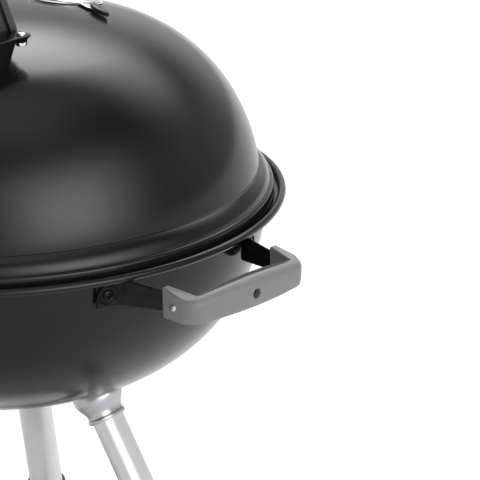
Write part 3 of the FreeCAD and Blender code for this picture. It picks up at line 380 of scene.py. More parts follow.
# ---------------------------------------------------------------- lid
VENT_OFFSET = 92.0
VENT_TILT = math.asin(VENT_OFFSET / LID["radii"][0])
VENT_RADIUS = 43.0
VENT_HOLES = (45, 135, 225, 315)
VENT_HOLE_RADIUS, VENT_HOLE_CIRCLE = 8.5, 22.0
TAB_TURN = -9.2
LIP = {"radius": 273.0, "top": 11.4, "bottom": -2.3, "corner": 3.2, "cove": 19.0}


def vent_place(distance, turn=0.0, azimuth=0.0):
    """Placement at a distance from the crown's centre, leaning turn away from the vent's axis."""
    middle = Matrix.Translation((0, 0, RIM + LID["height"] - LID["radii"][0]))
    lean = Matrix.Rotation(-VENT_TILT, 4, "X")
    aside = Matrix.Rotation(math.radians(azimuth), 4, "Z") @ Matrix.Rotation(math.radians(turn), 4, "Y")
    return middle @ lean @ aside @ Matrix.Translation((0, 0, distance))


def vent_holes(place):
    """Tools that cut the vent's round holes."""
    tools = []
    for azimuth in VENT_HOLES:
        turn = math.radians(azimuth)
        spot = (VENT_HOLE_CIRCLE * math.cos(turn), VENT_HOLE_CIRCLE * math.sin(turn))
        tools.append(slab("hole", circle(VENT_HOLE_RADIUS, 40, spot), -10, 10, 0.01, place, 1))
    return tools


def cove(start, end, radius, steps=12):
    """Points along an arc between two points whose middle lies on the left of the way there."""
    a, b = Vector(start), Vector(end)
    chord = b - a
    left = Vector((-chord.y, chord.x)).normalized()
    centre = (a + b) / 2 + left * math.sqrt(max(0, radius * radius - chord.length_squared / 4))
    first = math.atan2(a.y - centre.y, a.x - centre.x)
    last = math.atan2(b.y - centre.y, b.x - centre.x)
    while last - first > math.pi:
        last -= 2 * math.pi
    while last - first < -math.pi:
        last += 2 * math.pi
    return [
        (centre.x + radius * math.cos(first + (last - first) * i / steps),
         centre.y + radius * math.sin(first + (last - first) * i / steps))
        for i in range(steps + 1)
    ]


def raised(profile):
    return [(radius, RIM + height) for radius, height in profile]


def make_lid():
    outer, inner = dome_arcs(LID, 0), dome_arcs(LID, SHEET)
    radius, corner, top, bottom = LIP["radius"], LIP["corner"], LIP["top"], LIP["bottom"]
    step = [outer[-1], (outer[-1][0] + 1.1, outer[-1][1] - 0.4)]
    profile = outer[:-1] + step
    profile += cove(step[-1], (radius - corner, top), LIP["cove"])[1:]
    profile += arc((radius - corner, top - corner), corner, 90, 0, 8)[1:]
    hem = 1.5
    profile += arc((radius - hem, bottom + hem), hem, 0, -180, 10)
    profile += [(radius - 2 * hem, bottom + 2 * hem), (radius - hem - 0.2, bottom + 3.2 * hem)]
    profile += arc((radius - corner, top - corner), corner - SHEET, 0, 90, 6)
    profile += cove((radius - corner, top - SHEET), inner[-1], LIP["cove"] + SHEET)[1:]
    profile += inner[:-1][::-1]
    shell = turned("lid_shell", raised(profile), segments=256)
    carve(shell, vent_holes(vent_place(LID["radii"][0])))
    finish_piece(shell, "lid", ENAMEL, "black_enamel", "lid")


def make_lid_vent():
    crown = LID["radii"][0]
    place = vent_place(crown + 0.5, 0, TAB_TURN)
    edge, sag = VENT_RADIUS, crown - math.sqrt(crown * crown - VENT_RADIUS * VENT_RADIUS)
    profile = [(3.2, 1.3), (8, 1.25), (26, 0.5), (30, 0.55), (32.2, 1.2 - sag + 1.0)]
    profile += arc((34.4, 2.0 - sag), 1.2, 150, 30, 8) + arc((37.6, 1.9 - sag), 0.9, 210, 330, 6)
    profile += arc((40.9, 2.3 - sag), 1.3, 150, -40, 10) + [(edge, 0.2 - sag), (edge - 1.2, -sag)]
    profile += [(34, 0.1 - sag * (34 / edge) ** 2), (20, -sag * (20 / edge) ** 2), (3.2, 0)]
    disc = turned("vent_dish", profile, place, 128)
    carve(disc, vent_holes(place))
    ear = [(38, -6.5), (55, -6.5)] + arc((57, 0), 6.5, -80, 80, 12) + [(55, 6.5), (38, 6.5)]
    drop = place @ Matrix.Rotation(math.radians(5.6), 4, "Y")
    ear = slab("vent_ear", ear, 2.4, 4.2, 0.5, drop, 3)
    finish_piece(join_meshes("vent_disc", [disc, ear]), "lid_vent", CHROME, "vent_chrome", "lid_vent_disc")

    long, half = 17.0, 5.8
    bow = (long * long + half * half) / (half * 2)
    span = math.degrees(math.asin(long / bow))
    leaf = arc((0, half - bow), bow, 90 - span, 90 + span, 20)
    leaf += arc((0, bow - half), bow, 270 - span, 270 + span, 20)[1:-1]
    turn = math.degrees(53.0 + long) / crown
    leaf = slab("vent_tab", leaf, 0.05, 5.0, 2.0, vent_place(crown + 1.4, turn, TAB_TURN), 5)
    finish_piece(leaf, "lid_vent", DARK_GRIP, "dark_grip", "lid_vent_tab")

    rivet = [(0, -5), (6, -5), (6, -1.7), (3, -1.7), (3, 2.4), (5.2, 2.4)]
    rivet += [(5.5, 2.9), (5.0, 3.7), (3.4, 4.5), (1.6, 4.85), (0, 4.9)]
    rivet = turned("vent_rivet", rivet, vent_place(crown), 32)
    finish_piece(rivet, "lid", ZINC, "zinc_steel", "lid_vent_rivet")


# ---------------------------------------------------------------- lid handle
HANDLE_Y = -90.0
FLANGE = RIM + 200.6
FLANGE_THICK = 2.0
PEDESTAL_REACH, PEDESTAL_HIGH = 106.0, 45.0
FLANGE_SCREW_REACH, FLANGE_SCREW_HALF = 117.0, 25.0
GRIP_RISE = 54.0
GRIP_BACK, GRIP_FRONT, GRIP_HALF = 81.0, 101.0, 36.0
GRIP_BACK_LEAN, GRIP_FRONT_LEAN, GRIP_HALF_LEAN = 10.0, 6.0, 15.0


def mirrored(place, side):
    """The placement itself, or its mirror image across the plane X = 0."""
    return place if side > 0 else Matrix.Scale(-1, 4, (1, 0, 0)) @ place


def pan_screw(name, radius, high, place, shank=6.0, slim=2.4):
    """A Phillips pan head screw standing on Z = 0 of its placement, its shank below."""
    profile = [(0, -shank), (slim, -shank), (slim, 0), (radius, 0), (radius, high * 0.3)]
    profile += [(radius * math.cos(t), high * (0.3 + 0.7 * math.sin(t))) for t in quarter(7)[1:]]
    head = turned(name, profile, place, 40)
    long, wide = radius * 0.58, radius * 0.13
    arms = []
    for angle in (0, 90):
        corners = [(-long, -wide), (long, -wide), (long, wide), (-long, wide)]
        turn = place @ Matrix.Rotation(math.radians(angle), 4, "Z")
        arms.append(slab("recess", corners, high * 0.35, high * 1.3, 0.001, turn, 1))
    return carve(head, arms)


def make_pedestal(side):
    """One of the two steel pedestals: a flared stem on the dome, a flange and a boss under each screw."""
    base = Matrix.Translation((PEDESTAL_REACH, HANDLE_Y, 0))
    rings = []
    steps = 14
    for i in range(steps + 1):
        share = i / steps
        low, high = -7 - 2 * share, 9 + 4 * share ** 2
        half = 9 + 13 * share ** 1.4
        ring = rounded([(low, -half), (high, -half + 2), (high, half - 2), (low, half)], 3.0, 4)
        height = FLANGE - PEDESTAL_HIGH * (1 - share)
        rings.append([base @ Vector((x, y, height)) for x, y in ring])
    stem = sunk(lofted("stem", rings, 40))
    reach, apart, lobe = FLANGE_SCREW_REACH, FLANGE_SCREW_HALF, 9
    plate = [(72, HANDLE_Y - 33), (reach, HANDLE_Y - apart - lobe)]
    plate += arc((reach, HANDLE_Y - apart), lobe, -90, 40, 8) + arc((reach, HANDLE_Y + apart), lobe, -40, 90, 8)
    plate.append((72, HANDLE_Y + 33))
    pieces = [stem, slab("flange", plate, FLANGE, FLANGE + FLANGE_THICK, 0.7, None, 3)]
    boss = [(0, -5.0), (4.6, -5.0), (5.4, -4.2), (5.6, -2.4), (7.0, -0.6), (8.4, 0.4), (0, 0.6)]
    for y in (-apart, apart):
        pieces.append(turned("boss", boss, Matrix.Translation((reach, HANDLE_Y + y, FLANGE - 0.6)), 32))
    return flipped(join_meshes("pedestal", pieces), side)


def upright_ring(share, back, front, half, radius, steps):
    """A level outline of the handle's upright, from its share of the upright's height."""
    ring = rounded([(back, -half), (front, -half), (front, half), (back, half)], radius, steps)
    height = FLANGE + FLANGE_THICK + GRIP_RISE * share
    return [Vector((x, y + HANDLE_Y, height)) for x, y in ring]


def make_upright(side):
    """One end of the handle's grip: it leans in, with a rib down a recess in its outer face."""
    body, recess, rib = [], [], []
    steps = 8
    for i in range(steps + 1):
        share = i / steps
        back, front = GRIP_BACK - GRIP_BACK_LEAN * share, GRIP_FRONT - GRIP_FRONT_LEAN * share
        half = GRIP_HALF - GRIP_HALF_LEAN * share
        body.append(upright_ring(share, back, front, half, 3.0, 4))
        rib.append([
            Vector((x, y + HANDLE_Y, FLANGE + FLANGE_THICK + GRIP_RISE * share))
            for x, y in ((front - 6.5, -3.2), (front - 1, -2.2), (front - 1, 2.2), (front - 6.5, 3.2))
        ])
        share -= 0.02
        front, half = GRIP_FRONT - GRIP_FRONT_LEAN * share, GRIP_HALF - GRIP_HALF_LEAN * share - 9
        recess.append(upright_ring(share, front - 5.5, front + 9, half, 1.5, 3))
    upright = carve(lofted("upright", body, 40), [lofted("recess", recess, 40)])
    return flipped(join_meshes("grip_end", [upright, lofted("rib", rib, 40)]), side)


def make_lid_handle():
    pedestals, screws, nuts, parts = [], [], [], []
    for side in (-1, 1):
        pedestals.append(make_pedestal(side))
        for y in (-FLANGE_SCREW_HALF, FLANGE_SCREW_HALF):
            foot = mirrored(Matrix.Translation((FLANGE_SCREW_REACH, HANDLE_Y + y, FLANGE)), side)
            spot = foot @ Matrix.Translation((0, 0, FLANGE_THICK))
            screws.append(pan_screw("handle_screw", 4.6, 2.8, spot, 9, 2.5))
            nuts.append(slab("handle_nut", circle(5.5, 6), 0, 4.4, 0.4, foot @ Matrix.Translation((0, 0, -8.5)), 2))
        parts.append(make_upright(side))
    pedestals = join_meshes("handle_pedestals", pedestals)
    finish_piece(pedestals, "lid", BLACK_STEEL, "black_steel", "lid_handle_pedestals")
    finish_piece(join_meshes("handle_screws", screws), "lid", ZINC, "zinc_steel", "lid_handle_screws")
    finish_piece(join_meshes("handle_nuts", nuts), "lid", ZINC, "zinc_steel", "lid_handle_nuts")
    top = FLANGE + FLANGE_THICK + GRIP_RISE
    lie = Matrix.Translation((0, HANDLE_Y, top)) @ Matrix.Rotation(math.radians(90), 4, "Y")
    parts.append(slab("grip_bar", oval(42, 24, 16), -95, 95, 5.0, lie, 5))
    finish_piece(join_meshes("handle_grip", parts), "lid", DARK_GRIP, "dark_grip", "lid_handle_grip")


def rounded(corners, radius, steps):
    """A closed outline with its convex corners rounded."""
    path = []
    count = len(corners)
    for i in range(count):
        here = Vector(corners[i])
        before = (Vector(corners[i - 1]) - here)
        after = (Vector(corners[(i + 1) % count]) - here)
        cut = min(radius, before.length * 0.45, after.length * 0.45)
        start, end = here + before.normalized() * cut, here + after.normalized() * cut
        for k in range(steps + 1):
            t = k / steps
            path.append(start * (1 - t) ** 2 + here * 2 * t * (1 - t) + end * t ** 2)
    return path


def flipped(item, side):
    """The item itself, or on the left side its mirror image across the kettle's plane X = 0."""
    if side < 0:
        shift = Matrix.Translation(AXIS)
        item.data.transform(shift @ Matrix.Scale(-1, 4, (1, 0, 0)) @ shift.inverted())
        item.data.flip_normals()
    return item


def sunk(stem):
    """Let a stem's foot follow the dome that it stands on."""
    for vertex in stem.data.vertices:
        place = (vertex.co - AXIS) / MM
        face = lid_surface(place.x, place.y)
        if place.z < face:
            vertex.co.z = face * MM
    return stem


# ---------------------------------------------------------------- bowl
SLOTS = (60, 180, 300)


def make_bowl():
    outer = [(x, -z) for x, z in dome_arcs(BOWL, 0)]
    inner = [(x, -z) for x, z in dome_arcs(BOWL, SHEET)]
    ledge, flare = 274.0, -11.0
    end = (outer[-1][0] + 1.3, flare)
    bead = RIM_RADIUS - BEAD
    profile = outer + [end] + bend(end, (ledge, -BEAD), 8)[1:] + [(bead - 1, -BEAD)]
    profile += arc((bead, 0), BEAD, -90, 200, 20)
    profile += [(bead - BEAD * 0.8, -BEAD + SHEET), (ledge, -BEAD + SHEET)]
    back = (inner[-1][0] + 1.3, flare)
    profile += bend(back, (ledge, -BEAD + SHEET), 8)[::-1][1:] + inner[::-1]
    shell = turned("bowl_shell", raised(profile), segments=256)
    tools, bottom = [], RIM - BOWL["height"]
    for azimuth in SLOTS:
        turn = Matrix.Rotation(math.radians(azimuth), 4, "Z") @ Matrix.Translation((60, 0, bottom - 20))
        turn = turn @ Matrix.Rotation(math.radians(90), 4, "Z")
        tools.append(slab("slot", oval(44, 24, 16), 0, 60, 0.01, turn, 1))
    tools.append(slab("bore", circle(4.05, 24), bottom - 20, bottom + 20, 0.01, None, 1))
    carve(shell, tools)
    finish_piece(shell, "stand", ENAMEL, "black_enamel", "bowl")


def bend(start, end, steps):
    """A quarter-like curve that leaves the start upwards and reaches the end sideways."""
    x0, z0, x1, z1 = *start, *end
    return [(x0 + (x1 - x0) * (1 - math.cos(t)), z0 + (z1 - z0) * math.sin(t)) for t in quarter(steps)]


# ---------------------------------------------------------------- side handles
HOOK = RIM - 19.0
STRAP_LOW, STRAP_HIGH = RIM - 31.0, RIM - 5.0
STRAP_FOOT = 267.4
STRAP_ROOT = math.asin(80.3 / STRAP_FOOT)
STRAP_TAB, STRAP_BAR, STRAP_END_HALF = 25.0, 348.0, 64.0
GRIP_LOW, GRIP_HIGH = RIM - 33.0, RIM - 2.5
# Plan of a grip: (distance from the kettle's axis, half width) at its corners.
CHEEK_OUTER, SHOULDER = (307.0, 75.5), (332.5, 77.0)
CHEEK_INNER, GRIP_INNER = (307.0, 67.9), (338.4, 62.7)
FRONT_START, FRONT_END = (334.0, 76.6), (350.0, 64.0)
CORNER_RADIUS, BOW_RADIUS = 20.0, 344.0
HOLE_RADIUS = 4.5
CHEEK_HALF, CHEEK_SLOPE = 76.33, 0.0555
DISH_ALONG, DISH_DROP = 13.75, 18.4


def strap_line():
    """The strap's middle line in plan: foot, arm, cross bar, arm, foot, corners rounded."""
    corner = Vector((math.cos(STRAP_ROOT), math.sin(STRAP_ROOT))) * STRAP_FOOT
    along = Vector((-math.sin(STRAP_ROOT), math.cos(STRAP_ROOT)))
    bar = Vector((STRAP_BAR, STRAP_END_HALF))
    half = [corner + along * STRAP_TAB] + fillet(corner + along * STRAP_TAB, corner, bar, 5.0)
    half += fillet(corner, bar, Vector((STRAP_BAR, 0)), 6.0) + [Vector((STRAP_BAR, 20.0))]
    return half + [Vector((p.x, -p.y)) for p in reversed(half)]


def fillet(before, here, after, radius, steps=5):
    one = here + (before - here).normalized() * radius
    two = here + (after - here).normalized() * radius
    shares = [k / steps for k in range(steps + 1)]
    return [one * (1 - t) ** 2 + here * 2 * t * (1 - t) + two * t ** 2 for t in shares]


def ribbon(name, line, section):
    """A strip along a plan line; section gives (sideways, height) points of its cut, closed."""
    rings = []
    for i, point in enumerate(line):
        before = (point - line[i - 1]).normalized() if i else (line[1] - point).normalized()
        after = (line[i + 1] - point).normalized() if i + 1 < len(line) else before
        ways = [Vector((way.y, -way.x)) for way in (before, after)]
        mitre = (ways[0] + ways[1]).normalized()
        mitre /= max(0.5, mitre.dot(ways[0]))
        rings.append([(point.x + mitre.x * s, point.y + mitre.y * s, z) for s, z in section])
    return lofted(name, rings, 40)


def strap_section():
    """Cut of the strap: a pressed groove along its middle and hems at both edges."""
    low, high = STRAP_LOW, STRAP_HIGH
    groove = [(0.0, low + 4), (0.0, low + 8), (-0.7, low + 10), (-0.7, low + 15), (0.0, low + 17), (0.0, high - 4)]
    near = [(1.0 + s, z) for s, z in groove]
    far = [(-0.9 + s * 0.4, z) for s, z in groove]
    bottom = arc((0.0, low + 1.0), 1.0, -180, 0, 6)
    top = arc((0.0, high - 1.0), 1.0, 0, 180, 6)
    return bottom + near + top + far[::-1]


def grip_outline():
    """Plan of a grip, counter-clockwise: inner edge, cheeks, stepped shoulders and the bowed front."""
    side = [Vector(CHEEK_OUTER), Vector(SHOULDER)]
    front = [Vector(point) for point in arc_from(FRONT_START, FRONT_END, CORNER_RADIUS, 7)]
    far_end = (FRONT_END[0], -FRONT_END[1])
    bow = [Vector(point) for point in arc_from(FRONT_END, far_end, BOW_RADIUS, 28)]
    line = [Vector((p.x, -p.y)) for p in side + front] + bow[::-1][1:-1] + front[::-1]
    line += side[::-1] + [Vector(CHEEK_INNER), Vector(GRIP_INNER)]
    line += [Vector((GRIP_INNER[0], y)) for y in (40, 20, 0, -20, -40)]
    return line + [Vector((x, -y)) for x, y in (GRIP_INNER, CHEEK_INNER)]


def arc_from(start, end, radius, steps):
    """Points along the short arc between two points that bulges away from the kettle."""
    a, b = Vector(start), Vector(end)
    chord = b - a
    right = Vector((chord.y, -chord.x)).normalized()
    centre = (a + b) / 2 + right * math.sqrt(max(0, radius ** 2 - chord.length_squared / 4))
    first, last = [math.atan2((p - centre).y, (p - centre).x) for p in (a, b)]
    angles = [first + (last - first) * i / steps for i in range(steps + 1)]
    return [(centre.x + radius * math.cos(t), centre.y + radius * math.sin(t)) for t in angles]


def make_grip(name):
    line = grip_outline()
    count = len(line)
    normals = []
    for i in range(count):
        one, two = line[i] - line[i - 1], line[(i + 1) % count] - line[i]
        ways = [Vector((way.y, -way.x)).normalized() for way in (one, two)]
        mitre = (ways[0] + ways[1]).normalized()
        normals.append(mitre / max(0.6, mitre.dot(ways[0])))
    rings = []
    levels = 22
    for k in range(levels + 1):
        share = 0.5 - 0.5 * math.cos(math.pi * k / levels)
        ring = []
        for point, normal in zip(line, normals):
            outward = max(0.0, normal.normalized().x) if point.x > 333 else 0.0
            width = 0.5 - 0.5 * math.cos(math.pi * min(1.0, max(0.0, (point.x - 318) / 20)))
            high = GRIP_HIGH - 6.0 * width * (abs(point.y) / 77.0) ** 1.8
            low = GRIP_LOW
            height = low + (high - low) * share
            up = (height - (GRIP_LOW + 18.0)) / 15.0
            crown = outward * (2.0 * up * up if up < 0 else 1.6 * up * up)
            edge = 0.0
            for gap, soft in ((height - low, 1.6 + 1.4 * outward), (high - height, 1.6 + 6.4 * outward)):
                edge += soft * (1 - math.sqrt(max(0.0, 1 - (1 - min(1.0, gap / soft)) ** 2)))
            shift = -(crown + edge)
            ring.append((point.x + normal.x * shift, point.y + normal.y * shift, height))
        rings.append(ring)
    return lofted(name, rings, 45)


def make_side_handle(name, side):
    strap = ribbon("strap", strap_line(), strap_section())
    # The strap is narrowed where the grip hides it.
    for vertex in strap.data.vertices:
        inside = min(1.0, max(0.0, ((vertex.co - AXIS).x / MM - 322) / 12))
        middle = (HOOK + 1.0) * MM
        vertex.co.z = middle + (vertex.co.z - middle) * (1 - 0.42 * inside)
    bar_hole = Matrix.Translation((330, 0, HOOK)) @ Matrix.Rotation(math.radians(90), 4, "Y")
    carve(strap, [slab("hole", circle(HOLE_RADIUS, 40), 0, 40, 0.01, bar_hole, 1)])
    grip = make_grip("grip")
    mouth = [(0, -1), (HOLE_RADIUS, -1), (HOLE_RADIUS, 24.6), (5.6, 25.9), (6.2, 27), (0, 27)]
    carve(grip, [turned("hole", mouth, bar_hole, 48)], 45)
    screws, dishes, bolts, nuts = [], [], [], []
    for sign in (-1, 1):
        way = Vector((-CHEEK_SLOPE, sign * math.sqrt(1 - CHEEK_SLOPE ** 2), 0))
        spot = Matrix.Translation((322, sign * CHEEK_HALF, HOOK)) @ way.to_track_quat("Z", "Y").to_matrix().to_4x4()
        screws.append(pan_screw("cheek_screw", 3.4, 1.8, spot, 8, 1.8))
        out = Vector((math.cos(STRAP_ROOT), sign * math.sin(STRAP_ROOT), 0))
        along = Vector((-math.sin(STRAP_ROOT), sign * math.cos(STRAP_ROOT), 0)) * DISH_ALONG
        start = Matrix.Translation(out * (STRAP_FOOT + 1.0) + along + Vector((0, 0, RIM - DISH_DROP)))
        start = start @ out.to_track_quat("Z", "Y").to_matrix().to_4x4()
        dish = [(0, 0), (11, 0), (11, 1.6), (10.4, 2.3), (9.6, 2.4), (8.8, 1.9), (8.0, 1.2), (0, 1.2)]
        dishes.append(turned("foot_dish", dish, start, 48))
        bolts.append(pan_screw("foot_screw", 5.6, 3.0, start @ Matrix.Translation((0, 0, 1.2)), 10, 3.3))
        nut = start @ Matrix.Translation((0, 0, -8.4))
        nuts.append(slab("foot_nut", circle(6.2, 6), 0, 4.2, 0.4, nut, 2))
    pieces = [("strap", [strap], BLACK_STEEL, "black_steel"), ("grip", [grip], GREY_GRIP, "grey_grip")]
    pieces += [("grip_screws", screws, ZINC, "zinc_steel"), ("foot_dishes", dishes, BLACK_STEEL, "black_steel")]
    pieces += [("foot_screws", bolts, BLACK_STEEL, "black_steel"), ("foot_nuts", nuts, ZINC, "zinc_steel")]
    for kind, items, material, slot in pieces:
        whole = flipped(join_meshes(f"{kind}_{name}", items), side)
        finish_piece(whole, "stand", material, slot, f"side_handle_{name}_{kind}")


# ---------------------------------------------------------------- legs
LEGS = {"right": 11.0, "back": 131.0, "front": 251.0}
SPLAY = math.radians(27.5)
LEG_TOP_REACH, LEG_TOP = 111.0, RIM - 200.0
LEG_WIDE, LEG_DEEP = 36.0, 26.6


def leg_place(leg, down=0.0):
    """Placement on a leg's axis, Z up along it and X leaning outwards, a way below its top mark."""
    azimuth = math.radians(LEGS[leg])
    out = Vector((math.cos(azimuth), math.sin(azimuth), 0))
    way = out * math.sin(SPLAY) - Vector((0, 0, 1)) * math.cos(SPLAY)
    start = out * LEG_TOP_REACH + Vector((0, 0, LEG_TOP)) + way * down
    return Matrix.Translation(start) @ Matrix.Rotation(azimuth, 4, "Z") @ Matrix.Rotation(-SPLAY, 4, "Y")


def down_to(height):
    """Distance along a leg to where its axis reaches a height."""
    return (LEG_TOP - height) / math.cos(SPLAY)


def reach_at(height):
    """Distance of a leg's axis from the kettle's axis at a height."""
    return LEG_TOP_REACH + (LEG_TOP - height) * math.tan(SPLAY)


def tube(name, leg, wide, deep, wall, top, end_height):
    """A flat oval tube down a leg, cut level at a height."""
    place = leg_place(leg)
    rings = []
    for inset, heights in ((0, (0, 1)), (wall, (1, 0))):
        section = oval(wide - 2 * inset, deep - 2 * inset, 16)
        for end in heights:
            ring = []
            for x, y in section:
                point = place @ Vector((x, y, -top))
                if end:
                    way = (place @ Vector((x, y, -top - 1))) - point
                    point = point + way * ((end_height - point.z) / way.z)
                ring.append(point)
            rings.append(ring)
    return lofted(name, rings, 40, True)


SOCKET_LOW, SOCKET_HIGH, SOCKET_DISC = -18.9, 22.0, 25.5
LEG_WALL, LEG_INTO_SOCKET = 1.5, 12.0
# Up the socket: height, growth on the tube's section and how far the section has become a disc.
COLLAR = [(SOCKET_LOW, 2.9, 0), (-18.4, 3.4, 0), (-15.2, 3.4, 0), (-14.5, 3.0, 0), (-14.2, 2.3, 0), (-11, 2.3, 0)]
SWEEP = [
    (-8, 2.6, 0.08), (-4.5, 3.6, 0.28), (-0.5, 5.4, 0.62), (3.5, 6.6, 0.95), (6.5, 6.9, 1), (SOCKET_HIGH, 6.9, 1)]


def make_leg(leg):
    end = 14.0 if leg == "right" else 52.0
    body = tube(f"leg_tube_{leg}", leg, LEG_WIDE, LEG_DEEP, LEG_WALL, LEG_INTO_SOCKET, end)
    finish_piece(body, "stand", LEG_TUBE, "leg_aluminium", f"leg_{leg}")

    # The cast socket: a collar with a lip round the tube, sweeping out into a flange on the bowl.
    place = leg_place(leg)
    rings = []
    for height, grow, round_share in COLLAR + SWEEP:
        section = oval(LEG_WIDE + 2 * grow, LEG_DEEP + 2 * grow, 16)
        ring = []
        for x, y in section:
            angle = math.atan2(y, x)
            disc = Vector((SOCKET_DISC * math.cos(angle), SOCKET_DISC * math.sin(angle)))
            flat = Vector((x, y)) * (1 - round_share) + disc * round_share
            point = place @ Vector((flat.x, flat.y, height))
            ring.append(point)
        rings.append(ring)
    bore = []
    for height in (LEG_INTO_SOCKET, SOCKET_LOW):
        bore.append([place @ Vector((x, y, height)) for x, y in oval(LEG_WIDE + 0.02, LEG_DEEP + 0.02, 16)])
    top = [[place @ Vector((x, y, SOCKET_HIGH)) for x, y in oval(LEG_WIDE - 6, LEG_DEEP - 6, 16)]]
    socket = lofted(f"socket_{leg}", rings + top + bore, 60, True)
    for vertex in socket.data.vertices:
        point = (vertex.co - AXIS) / MM
        face = bowl_surface(point.x, point.y)
        if point.z > face:
            vertex.co.z = face * MM
    finish_piece(socket, "stand", CAST, "cast_aluminium", f"leg_socket_{leg}")


def dress(node, material, edge):
    """Show a CAD node as it is, in a finish, its edges broken by a small bevel."""
    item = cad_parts[node]
    item.data.materials.clear()
    item.data.materials.append(material)
    if edge:
        bevel = item.modifiers.new("edge", "BEVEL")
        bevel.width = edge * MM
        bevel.segments = 2
        bevel.limit_method = "ANGLE"
        bevel.angle_limit = math.radians(40)


def make_foot():
    place = leg_place("right")
    rings = []
    far, near = down_to(0.0), down_to(46.0)
    for grow, height in ((3.0, None), (3.0, near + 1.2), (2.4, near), (0.05, near), (0.05, near + 20)):
        ring = []
        for x, y in oval(LEG_WIDE + 2 * grow, LEG_DEEP + 2 * grow, 16):
            if height is None:
                point = place @ Vector((x, y, -far))
                way = (place @ Vector((x, y, -far - 1))) - point
                point = point - way * (point.z / way.z)
            else:
                point = place @ Vector((x, y, -height))
            ring.append(point)
        rings.append(ring)
    foot = lofted("foot_cap", rings, 40)
    finish_piece(foot, "stand", BLACK_PLASTIC, "black_plastic", "leg_foot")


# ---------------------------------------------------------------- axle and wheels
WHEEL, WHEEL_RIM, WHEEL_WIDE, TYRE_WIDE = 80.0, 70.0, 36.0, 32.0
LEG_HALF, SPACER, SIDE_PLAY = 16.0, 14.0, 0.5
# TREADS counts the blocks in half a turn of the tyre.
SPOKES, TREADS = 10, 36


def axle_line():
    """Middle of the axle, its direction from the back leg to the front leg and half the leg gap."""
    radius = reach_at(WHEEL)
    turns = [math.radians(LEGS[leg]) for leg in ("back", "front")]
    ends = [Vector((radius * math.cos(turn), radius * math.sin(turn), WHEEL)) for turn in turns]
    way = ends[1] - ends[0]
    return (ends[0] + ends[1]) / 2, way.normalized(), way.length / 2


def axle_place(distance, side):
    middle, way, _ = axle_line()
    turn = (way * side).to_track_quat("Z", "Y").to_matrix().to_4x4()
    return Matrix.Translation(middle + way * side * distance) @ turn


def make_wheel(name, side, start):
    place = axle_place(start, side)
    mid = WHEEL_WIDE / 2
    low, high = (WHEEL_WIDE - TYRE_WIDE) / 2, (WHEEL_WIDE + TYRE_WIDE) / 2
    profile = [(5.05, 0), (13.5, 0), (15, 1), (16, mid - 3.5), (62.5, mid - 0.5)]
    profile += [(64.5, low + 0.8), (65.3, low), (WHEEL_RIM, low), (WHEEL_RIM, high), (65.3, high)]
    profile += [(64.5, high - 0.8), (63, mid + 5.5), (16, mid + 2.5)]
    profile += [(15, WHEEL_WIDE - 1), (13.5, WHEEL_WIDE), (5.05, WHEEL_WIDE)]
    wheel = turned(f"wheel_disc_{name}", profile, place, 128)
    ribs = []
    for k in range(SPOKES):
        turn = place @ Matrix.Rotation(math.radians(360 / SPOKES * k), 4, "Z")
        turn = turn @ Matrix.Rotation(math.radians(90), 4, "X")
        corners = [(14, mid + 1), (64, mid + 2), (64, mid + 9.5), (50, mid + 7.5), (16, mid + 11), (14, mid + 11)]
        ribs.append(slab("rib", corners, -1.3, 1.3, 0.6, turn, 2))
    whole = join_meshes(f"wheel_{name}_body", [wheel] + ribs)
    finish_piece(whole, f"wheel_{name}", BLACK_PLASTIC, "black_plastic", f"wheel_{name}")

    def tread(radius, height, angle):
        if radius < WHEEL - 0.5 or abs(height - mid) < 1.5:
            return radius
        phase = (angle * TREADS / math.pi + (0.5 if height > mid else 0)) % 1
        return radius - (1.1 if phase < 0.22 else 0.0)

    profile = [(WHEEL_RIM, low), (WHEEL - 7, low)] + arc((WHEEL - 7, low + 7), 7, -90, 0, 8)[1:]
    profile += [(WHEEL, mid - 4), (WHEEL, mid - 1.6), (78.8, mid - 1.4)]
    profile += [(78.8, mid + 1.4), (WHEEL, mid + 1.6), (WHEEL, mid + 4)]
    profile += arc((WHEEL - 7, high - 7), 7, 0, 90, 8) + [(WHEEL_RIM, high)]
    tyre = turned(f"tyre_{name}", profile, place, 480, 30, tread)
    finish_piece(tyre, f"wheel_{name}", RUBBER, "tyre_rubber", f"wheel_{name}_tyre")


def make_running_gear():
    _, _, half = axle_line()
    wheel_start = half + LEG_HALF + SPACER + SIDE_PLAY
    for name, side in (("back", -1), ("front", 1)):
        make_wheel(name, side, wheel_start)


# ---------------------------------------------------------------- wire goods
CARRIER_ROD = 3.5


def chord_rods(radius, rod, pitch, height, steps=10):
    rods = []
    count = int(radius / pitch - 0.25)
    for number in range(-count, count + 1):
        offset = pitch * number
        half = math.sqrt(radius * radius - offset * offset)
        rods.append(swept("rod", [(offset, -half, height), (offset, half, height)], rod, steps))
    return rods


def hoop(radius, rod, height, segments=128):
    return swept("hoop", [(x, y, height) for x, y in circle(radius, segments)], rod, 12, True)


def carrier(radius, height):
    """A wire ring and three arms that end on the collars of the legs."""
    pieces = [hoop(radius, CARRIER_ROD, height)]
    for azimuth in LEGS.values():
        out = Vector((math.cos(math.radians(azimuth)), math.sin(math.radians(azimuth)), 0))
        end = reach_at(height) - (LEG_DEEP / 2 + 3.0) / math.cos(SPLAY)
        level = Vector((0, 0, height))
        pieces.append(swept("arm", [out * (radius - 1) + level, out * end + level], CARRIER_ROD, 12))
    return pieces


def make_shelf():
    height, radius = 190.0, 236.0
    pieces = carrier(radius, height) + chord_rods(radius, 2.2, 34.0, height + CARRIER_ROD + 2.2 - 1.0)
    pieces.append(swept("brace", [(-radius, 0, height), (radius, 0, height)], CARRIER_ROD, 12))
    finish_piece(join_meshes("shelf", pieces), "stand", ZINC, "zinc_steel", "bottom_shelf")


